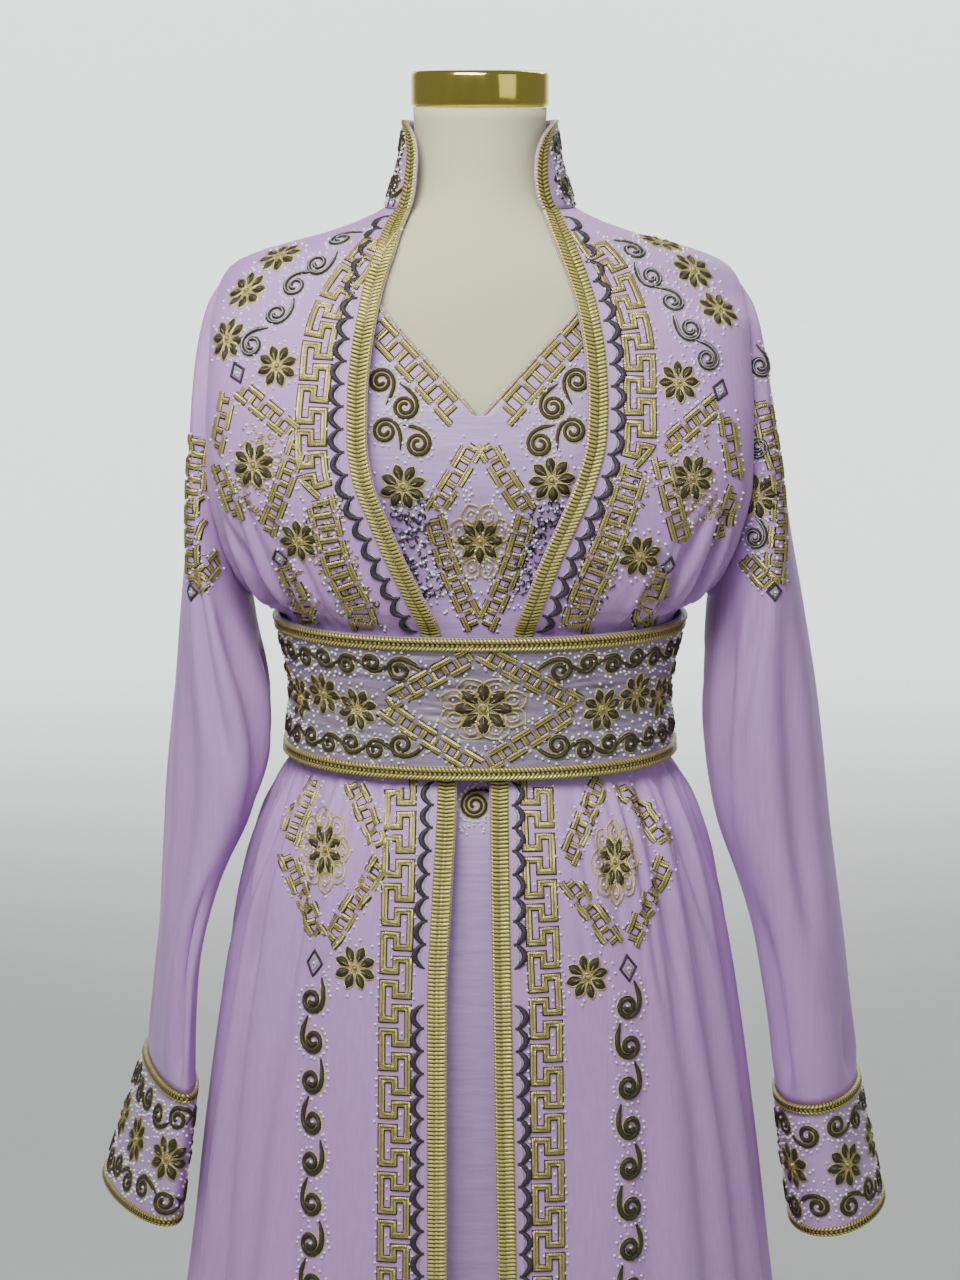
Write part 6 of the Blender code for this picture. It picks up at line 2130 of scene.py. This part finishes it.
class KAFTAN_OT_chest_work(bpy.types.Operator):
    """Embroider the robe's chest: square-cut bands, half diamonds, flowers, curls, scallops and beads."""

    bl_idname = "kaftan.chest_work"
    bl_label = "Chest embroidery"

    def execute(self, context):
        for side, sign in SIDE_SIGN.items():
            skin = SKINS[f"robe_front_{side}"]
            drawn = CHEST[side]
            work = Embroidery(f"chest_{side}", seed=21 if side == "right" else 22)
            strip = strip_seen(skin, drawn["band"])
            work.fret(strip, 0.0, strip.size, 0.0090, FRET_PERIOD * 0.92, flip=sign)
            ladder = strip_seen(skin, drawn["ladder"])
            end = walk_to(ladder, ladder.points[:, 2], BELT_TOP + 0.004)
            work.tee_fret(ladder, 0.0, end, 0.0084, 0.019, flip=sign)
            work.filling(ladder, 0.002, end, 0.0150, 40000)
            work.filling(ladder, 0.002, end, 0.0150, 16000, "antique_thread")
            low_band = strip_seen(skin, drawn["low_band"])
            work.tee_fret(low_band, 0.0, low_band.size, 0.0060, 0.019, flip=sign)
            work.filling(low_band, 0.0, low_band.size, 0.0120, 30000)
            diamond_bands(work, skin, drawn["diamond"], 0.0052, 0.0200)
            ground = strip_seen(skin, drawn["ground"])
            work.filling(ground, 0.0, ground.size, 0.0160, 64000)
            flowers_seen(work, skin, drawn["flowers"])
            curl_chain(work, skin, drawn["curls"], 0.0085, sign)
            for place, *size_and_tilt in drawn["lozenges"]:
                work.lozenge(patch_seen(skin, *place), *size_and_tilt)
            rim, heights = outer_braid_strip(side)
            work.scallops(rim, 0.004, walk_to(rim, heights, BELT_TOP + 0.004), 0.0014, 0.0092, sign)
            names = ("shoulder", "chest", "side", "rib") + (("arm",) if side == "left" else ())
            work.sewn({
                "couched_gold": (f"chest_band_{side}",),
                "antique_thread": tuple(f"flower_{name}_{side}" for name in names),
            })
        return {"FINISHED"}


class KAFTAN_OT_skirt_work(bpy.types.Operator):
    """Embroider the robe below the belt: bands, diamonds, flowers, scallops, and curls down to the hem."""

    bl_idname = "kaftan.skirt_work"
    bl_label = "Skirt embroidery"

    def execute(self, context):
        for side, sign in SIDE_SIGN.items():
            skin = SKINS[f"robe_front_{side}"]
            drawn = SKIRT[side]
            work = Embroidery(f"hip_{side}", seed=31 if side == "right" else 32)
            upper, _ = seen(skin, drawn["band"])
            heights = np.arange(upper[-1, 2] - 0.05, 0.036, -0.03)
            lower = np.stack([sign * (SKIRT_BAND.at(side, heights)), heights], axis=-1)
            band = strip_ahead(skin, np.concatenate([upper[:, [0, 2]], lower]))
            work.fret(band, 0.0, band.size, 0.0092, FRET_PERIOD, flip=sign)
            diamond_bands(work, skin, drawn["diamond"], 0.0052, 0.0195)
            flowers_seen(work, skin, drawn["flowers"])
            place, *size_and_tilt = drawn["lozenge"]
            patch = patch_seen(skin, *place)
            work.lozenge(patch, *size_and_tilt)
            self.column(work, skin, patch.point, sign)
            rim, heights = outer_braid_strip(side)
            for ends in ((BELT_BOTTOM - 0.003, 0.931), (0.905, 0.640), (0.612, 0.340), (0.312, 0.036)):
                start, end = (walk_to(rim, heights, z) for z in ends)
                work.scallops(rim, start, end, 0.0016, 0.0078, sign, 0.0155)
            work.sewn({
                "couched_gold": (f"skirt_band_{side}", f"skirt_diamond_{side}"),
                "antique_thread": (f"flower_hip_{side}", f"flower_skirt_{side}"),
            })
        return {"FINISHED"}

    def column(self, work, skin, top, sign):
        """Curls down to the hem, turned to each side by turns, between two broken lines of beads."""
        heights = np.arange(top[2] - 0.026, 0.050, -0.0280)
        for k, z in enumerate(heights):
            hand = 1 if k % 2 else -1
            x = top[0] + sign * 0.00012 * (top[2] - z) / 0.01
            patch = Patch(skin, x, z)
            heading = math.pi / 2 + 0.35 * hand
            work.scroll(patch, (0.0006 * hand, 0.0), 0.0087, heading, hand, tail=2.1, half=0.0020)


class KAFTAN_OT_belt_work(bpy.types.Operator):
    """Embroider the belt: the middle diamond with its double flower, then flowers and curls all round."""

    bl_idname = "kaftan.belt_work"
    bl_label = "Belt embroidery"

    def execute(self, context):
        skin = SKINS["belt"]
        centre = Flat(skin, skin.across[-1] / 2, skin.down[-1] / 2)
        work = Embroidery("belt", seed=41)
        corners = ((0, 0.0425), (0.0700, 0), (0, -0.0425), (-0.0700, 0))
        for start, end in zip(corners, corners[1:] + corners[:1]):
            edge = Edge(centre, start, end)
            work.tee_fret(edge, 0.0035, edge.size - 0.0035, 0.0052, 0.0175)
            inside = Edge(centre, np.multiply(start, 0.72), np.multiply(end, 0.72))
            rows = np.arange(0.004, inside.size, BEAD_SPACING)
            work.scatter(inside, np.stack([rows, np.zeros_like(rows)], axis=-1), 0.8)
        work.flower(centre, (0.0215, 0.0192), math.pi / 2, (0.0320, 0.0240), middle=(0.0025, 0.0))
        reach = skin.across[-1] / 2 - 0.040
        for sign in (-1, 1):
            places = np.arange(0.0880, reach, 0.0292)
            for k, place in enumerate(places):
                spot = (sign * place, 0.004 * (-1) ** (k + 1))
                work.flower(centre, 0.0160, 0.3 + 0.4 * k, middle=spot)
            for level in (-1, 1):
                chain = np.arange(0.0540, reach, 0.0188)
                for k, place in enumerate(chain):
                    hand = sign * level * (1 if k % 2 else -1)
                    spot = (sign * place, level * (0.0305 if k else 0.0290) + 0.0015 * hand * sign)
                    heading = math.pi if sign > 0 else 0.0
                    work.scroll(centre, spot, 0.0068 if k else 0.0086, heading, hand, tail=1.9)
        work.sewn({
            "couched_gold": ("belt_diamond",),
            "antique_thread": ("flower_belt_middle", "flower_belt_left", "flower_belt_right"),
        })
        return {"FINISHED"}


class KAFTAN_OT_bodice_work(bpy.types.Operator):
    """Embroider the under-dress: neckline cord and bands, middle diamond, flowers, wheels, a skirt column."""

    bl_idname = "kaftan.bodice_work"
    bl_label = "Under-dress embroidery"

    def execute(self, context):
        skin = SKINS["bodice"]
        work = Embroidery("bodice", seed=51)
        for sign in (-1, 1):
            heights = np.concatenate([[V_POINT + 0.0012], np.arange(V_POINT + 0.01, 1.415, 0.006)])
            edge = np.stack([sign * (V_EDGE.at("x", heights) + 0.0016), heights], axis=-1)
            strip = strip_ahead(skin, edge)
            rows = np.arange(0, strip.size, 0.003)
            line = np.stack([rows, rows * 0], axis=-1)
            work["bright_gold_thread"].cord(strip, line, np.full(len(rows), 0.0011))
            band = np.stack([sign * (V_EDGE.at("x", heights) + 0.0115), heights - 0.004], axis=-1)
            strip = strip_ahead(skin, band)
            work.tee_fret(strip, 0.006, strip.size, 0.0068, 0.0200, flip=sign)
            lines = (((480 + sign * 4, 442), (480 + sign * 25, 478), (480 + sign * 47, 512)),
                     ((480 + sign * 47, 516), (480 + sign * 30, 570), (480 + sign * 4, 628)))
            for line in lines:
                strip = strip_seen(skin, line)
                work.tee_fret(strip, 0.0, strip.size, 0.0054, 0.0185, flip=sign)
            for chain in WHEELS:
                places = [(479 + sign * across, down) for across, down in chain]
                for k, place in enumerate(places):
                    other = places[1 - k]
                    heading = math.atan2(place[1] - other[1], other[0] - place[0])
                    work.scroll(patch_seen(skin, *place), (0, 0), 0.0088, heading + 0.5 * sign,
                                sign if k else -sign, tail=1.9, turns=2.2, half=0.0014)
            line = ((480 + sign * 72, 500), (480 + sign * 62, 545), (480 + sign * 42, 596))
            ground = strip_seen(skin, line)
            work.filling(ground, 0.0, ground.size, 0.0130, 60000, "plum_cord")
            work.filling(ground, 0.0, ground.size, 0.0130, 16000, "silver_cord")
        flowers_seen(work, skin, (
            ((480, 541), (0.0165, 0.0175), math.pi / 2, (0.0222, 0.0300)),
            ((403, 487), 0.0165, 0.3),
            ((552, 480), 0.0165, 0.1),
        ))
        chance = np.random.default_rng(52)
        spots = chance.uniform((-0.045, 1.168), (0.045, 1.262), (240, 2))
        points, _ = skin.ahead(spots[:, 0], spots[:, 1])
        centre = Patch(skin, 0.0, 1.215)
        local = np.stack([spots[:, 0], (spots[:, 1] - 1.215)], axis=-1)[~np.isnan(points[:, 0])]
        work.scatter(centre, local, 0.6)
        work.sewn({"antique_thread": ("flower_bodice_middle", "flower_bodice_right", "flower_bodice_left")})
        self.skirt_column()
        return {"FINISHED"}

    def skirt_column(self):
        """Wheels down the middle of the under-dress skirt, just below the belt, with beads between."""
        skin = SKINS["skirt_front"]
        work = Embroidery("skirt_middle", seed=53)
        patch = patch_seen(skin, 475, 805)
        work.scroll(patch, (0, 0), 0.0100, 0.6, 1, 1.6, 2.6, 0.0012)
        work.scroll(patch, (0.002, 0.027), 0.0092, 2.4, -1, 1.6, 2.4, 0.0012)
        chance = np.random.default_rng(54)
        spots = chance.uniform((-0.012, -0.020), (0.012, -0.012), (16, 2))
        work.scatter(patch, spots)
        around = np.linspace(0, 2 * math.pi, 18, endpoint=False)
        work.scatter(patch, 0.0126 * circle(around))
        work.sewn()


class KAFTAN_OT_sleeve_work(bpy.types.Operator):
    """Embroider both sleeves with a half diamond, and both cuffs with flowers and curls all round."""

    bl_idname = "kaftan.sleeve_work"
    bl_label = "Sleeve and cuff embroidery"

    def execute(self, context):
        for side in SIDE_SIGN:
            skin, drawn = SKINS[f"sleeve_{side}"], SLEEVE_WORK[side]
            work = Embroidery(f"arm_work_{side}", seed=61 if side == "right" else 62)
            band = strip_seen(skin, drawn["band"])
            work.tee_fret(band, 0.0, band.size, 0.0066, 0.0180)
            work.filling(band, 0.0, band.size, 0.0130, 12000, "silver_cord")
            start, end = drawn["arm"]
            arm = strip_seen(skin, (start, np.add(start, end) / 2, end))
            work.tee_fret(arm, 0.0, arm.size, 0.0056, 0.0180)
            for k, place in enumerate(drawn["curls"]):
                patch, hand = patch_seen(skin, *place), 1 if k % 2 else -1
                work.scroll(patch, (0, 0), 0.0082, math.pi / 2, hand, tail=1.9, silvery=True)
            flowers_seen(work, skin, drawn["flowers"])
            place, *size_and_tilt = drawn["lozenge"]
            work.lozenge(patch_seen(skin, *place), *size_and_tilt)
            work.sewn()
            self.cuff(side)
        return {"FINISHED"}

    @staticmethod
    def cuff(side):
        skin = SKINS[f"cuff_{side}"]
        work = Embroidery(f"cuff_work_{side}", seed=71 if side == "right" else 72)
        paper = Flat(skin, 0.0, skin.down[-1] / 2)
        size = skin.across[-1]
        count = 6
        for k in range(count):
            around = size * (k + 0.42) / count
            work.flower(paper, 0.0175, 0.3 + 0.5 * k, middle=(around, 0.001 * (-1) ** k))
            for part in (0, 0.5):
                spot = size * (k + part) / count
                hand = 1 if part else -1
                for level in (-1, 1):
                    centre = (spot, level * (0.0300 + 0.002 * hand))
                    work.scroll(paper, centre, 0.0086, math.pi * (k % 2), hand * level, tail=2.0)
        work.sewn({"antique_thread": (f"flower_cuff_{side}",)})


class KAFTAN_OT_collar_work(bpy.types.Operator):
    """Embroider the stand collar: two rows of curls with beads, on a ground of short stitches."""

    bl_idname = "kaftan.collar_work"
    bl_label = "Collar embroidery"

    def execute(self, context):
        skin = SKINS["collar"]
        work = Embroidery("collar", seed=81)
        paper = Flat(skin, 0.0, skin.down[-1] / 2)
        size = skin.across[-1]
        for level in (-1, 1):
            for k, around in enumerate(np.arange(0.028, size - 0.024, 0.0190)):
                hand = level if k % 2 else -level
                spot = (around + 0.004 * level, 0.0155 * level + 0.0015 * hand)
                work.scroll(paper, spot, 0.0076, math.pi, hand, tail=1.9)
        ground = Edge(paper, (0.018, 0.0), (size - 0.018, 0.0))
        work.filling(ground, 0.0, ground.size, 0.0270, 34000, "antique_thread")
        work.filling(ground, 0.0, ground.size, 0.0270, 22000, "silver_cord")
        work.sewn()
        return {"FINISHED"}


class KAFTAN_OT_stage(bpy.types.Operator):
    """Make the pale floor, the soft lights and the camera."""

    bl_idname = "kaftan.stage"
    bl_label = "Floor, lights and camera"

    def execute(self, context):
        outline = [(y, 0.0) for y in (-9.0, -4.0, 0.0, 4.0, 6.6)]
        bend = np.linspace(0, math.pi / 2, 17)[1:]
        outline += [(6.6 + 2.0 * math.sin(a), 2.0 - 2.0 * math.cos(a)) for a in bend]
        outline += [(8.6, 3.5), (8.6, 5.0)]
        grid = np.array([[(x, y, z) for x in (-9.0, -3.0, 3.0, 9.0)] for y, z in outline])
        skin_faces, _, _ = grid_faces(len(outline), 4, False)
        mesh = bpy.data.meshes.new("studio_floor")
        mesh.from_pydata(grid.reshape(-1, 3).tolist(), [], skin_faces[:, ::-1].tolist())
        mesh.materials.append(material("studio_paper"))
        mesh.shade_smooth()
        floor = bpy.data.objects.new("studio_floor", mesh)
        context.scene.collection.objects.link(floor)
        floor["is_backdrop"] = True
        for name, place, aim, size, power, tint in (
            ("key_light", (-0.55, -1.05, 2.40), (0, 0, 1.30), 0.8, 25.0, (1.0, 0.985, 0.96)),
            ("upper_light", (-0.10, -1.0, 2.15), (0, -0.1, 1.33), 0.5, 11.0, (0.97, 0.98, 1.0)),
            ("fill_light", (2.2, -2.1, 1.9), (0, 0, 1.1), 1.6, 7.5, (1.0, 0.97, 0.95)),
            ("back_light", (1.3, 1.9, 2.9), (0, 0, 1.2), 1.4, 26.0, (1.0, 1.0, 1.0)),
            ("wall_light_left", (-2.6, 5.0, 3.3), (-0.8, 8.6, 1.6), 2.2, 270.0, (0.97, 1.0, 1.0)),
            ("wall_light_right", (2.6, 5.0, 3.3), (0.8, 8.6, 1.6), 2.2, 270.0, (0.97, 1.0, 1.0)),
        ):
            lamp = bpy.data.lights.new(name, "AREA")
            lamp.size, lamp.energy, lamp.color = size, power, tint
            holder = bpy.data.objects.new(name, lamp)
            holder.location = place
            holder.rotation_euler = (Vector(aim) - Vector(place)).to_track_quat("-Z", "Y").to_euler()
            context.scene.collection.objects.link(holder)
        world = bpy.data.worlds.new("studio")
        world.use_nodes = True
        sky = world.node_tree.nodes["Background"]
        sky.inputs["Color"].default_value = (0.90, 0.93, 0.95, 1.0)
        sky.inputs["Strength"].default_value = 0.25
        context.scene.world = world
        lens = bpy.data.cameras.new("view")
        lens.sensor_fit = "VERTICAL"
        lens.sensor_height = SENSOR
        lens.lens = FOCAL / FRAME[1] * SENSOR
        eye = bpy.data.objects.new("view", lens)
        eye.location = EYE
        eye.rotation_euler = (math.pi / 2 - TIP, 0, 0)
        context.scene.collection.objects.link(eye)
        context.scene.camera = eye
        return {"FINISHED"}


class KAFTAN_PT_panel(bpy.types.Panel):
    """The kaftan's colours, sizes and steps."""

    bl_label = "Embroidered kaftan"
    bl_idname = "KAFTAN_PT_panel"
    bl_space_type = "VIEW_3D"
    bl_region_type = "UI"
    bl_category = "Kaftan"

    def draw(self, context):
        for group in (context.scene.kaftan_colours, context.scene.kaftan_sizes):
            box = self.layout.box()
            for name in group.__annotations__:
                box.prop(group, name)
        for step in STEPS:
            self.layout.operator(step.bl_idname)


STEPS = (
    KAFTAN_OT_stage,
    KAFTAN_OT_form,
    KAFTAN_OT_under_dress,
    KAFTAN_OT_robe,
    KAFTAN_OT_sleeves,
    KAFTAN_OT_collar,
    KAFTAN_OT_front_braids,
    KAFTAN_OT_belt,
    KAFTAN_OT_chest_work,
    KAFTAN_OT_skirt_work,
    KAFTAN_OT_belt_work,
    KAFTAN_OT_bodice_work,
    KAFTAN_OT_sleeve_work,
    KAFTAN_OT_collar_work,
)
CLASSES = (KaftanColours, KaftanSizes, *STEPS, KAFTAN_PT_panel)


def register():
    for item in CLASSES:
        bpy.utils.register_class(item)
    bpy.types.Scene.kaftan_colours = PointerProperty(type=KaftanColours)
    bpy.types.Scene.kaftan_sizes = PointerProperty(type=KaftanSizes)


def unregister():
    del bpy.types.Scene.kaftan_sizes
    del bpy.types.Scene.kaftan_colours
    for item in reversed(CLASSES):
        bpy.utils.unregister_class(item)


def main():
    """Builds every piece in order and works out the model's box before and after."""
    register()
    for step in STEPS:
        family, name = step.bl_idname.split(".")
        getattr(getattr(bpy.ops, family), name)()
    boxes = [[list(map(float, corner)) for corner in box] for box in (CAD_BOX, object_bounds())]
    {"cad": boxes[0], "visual": boxes[1]}


if __name__ == "__main__":
    main()
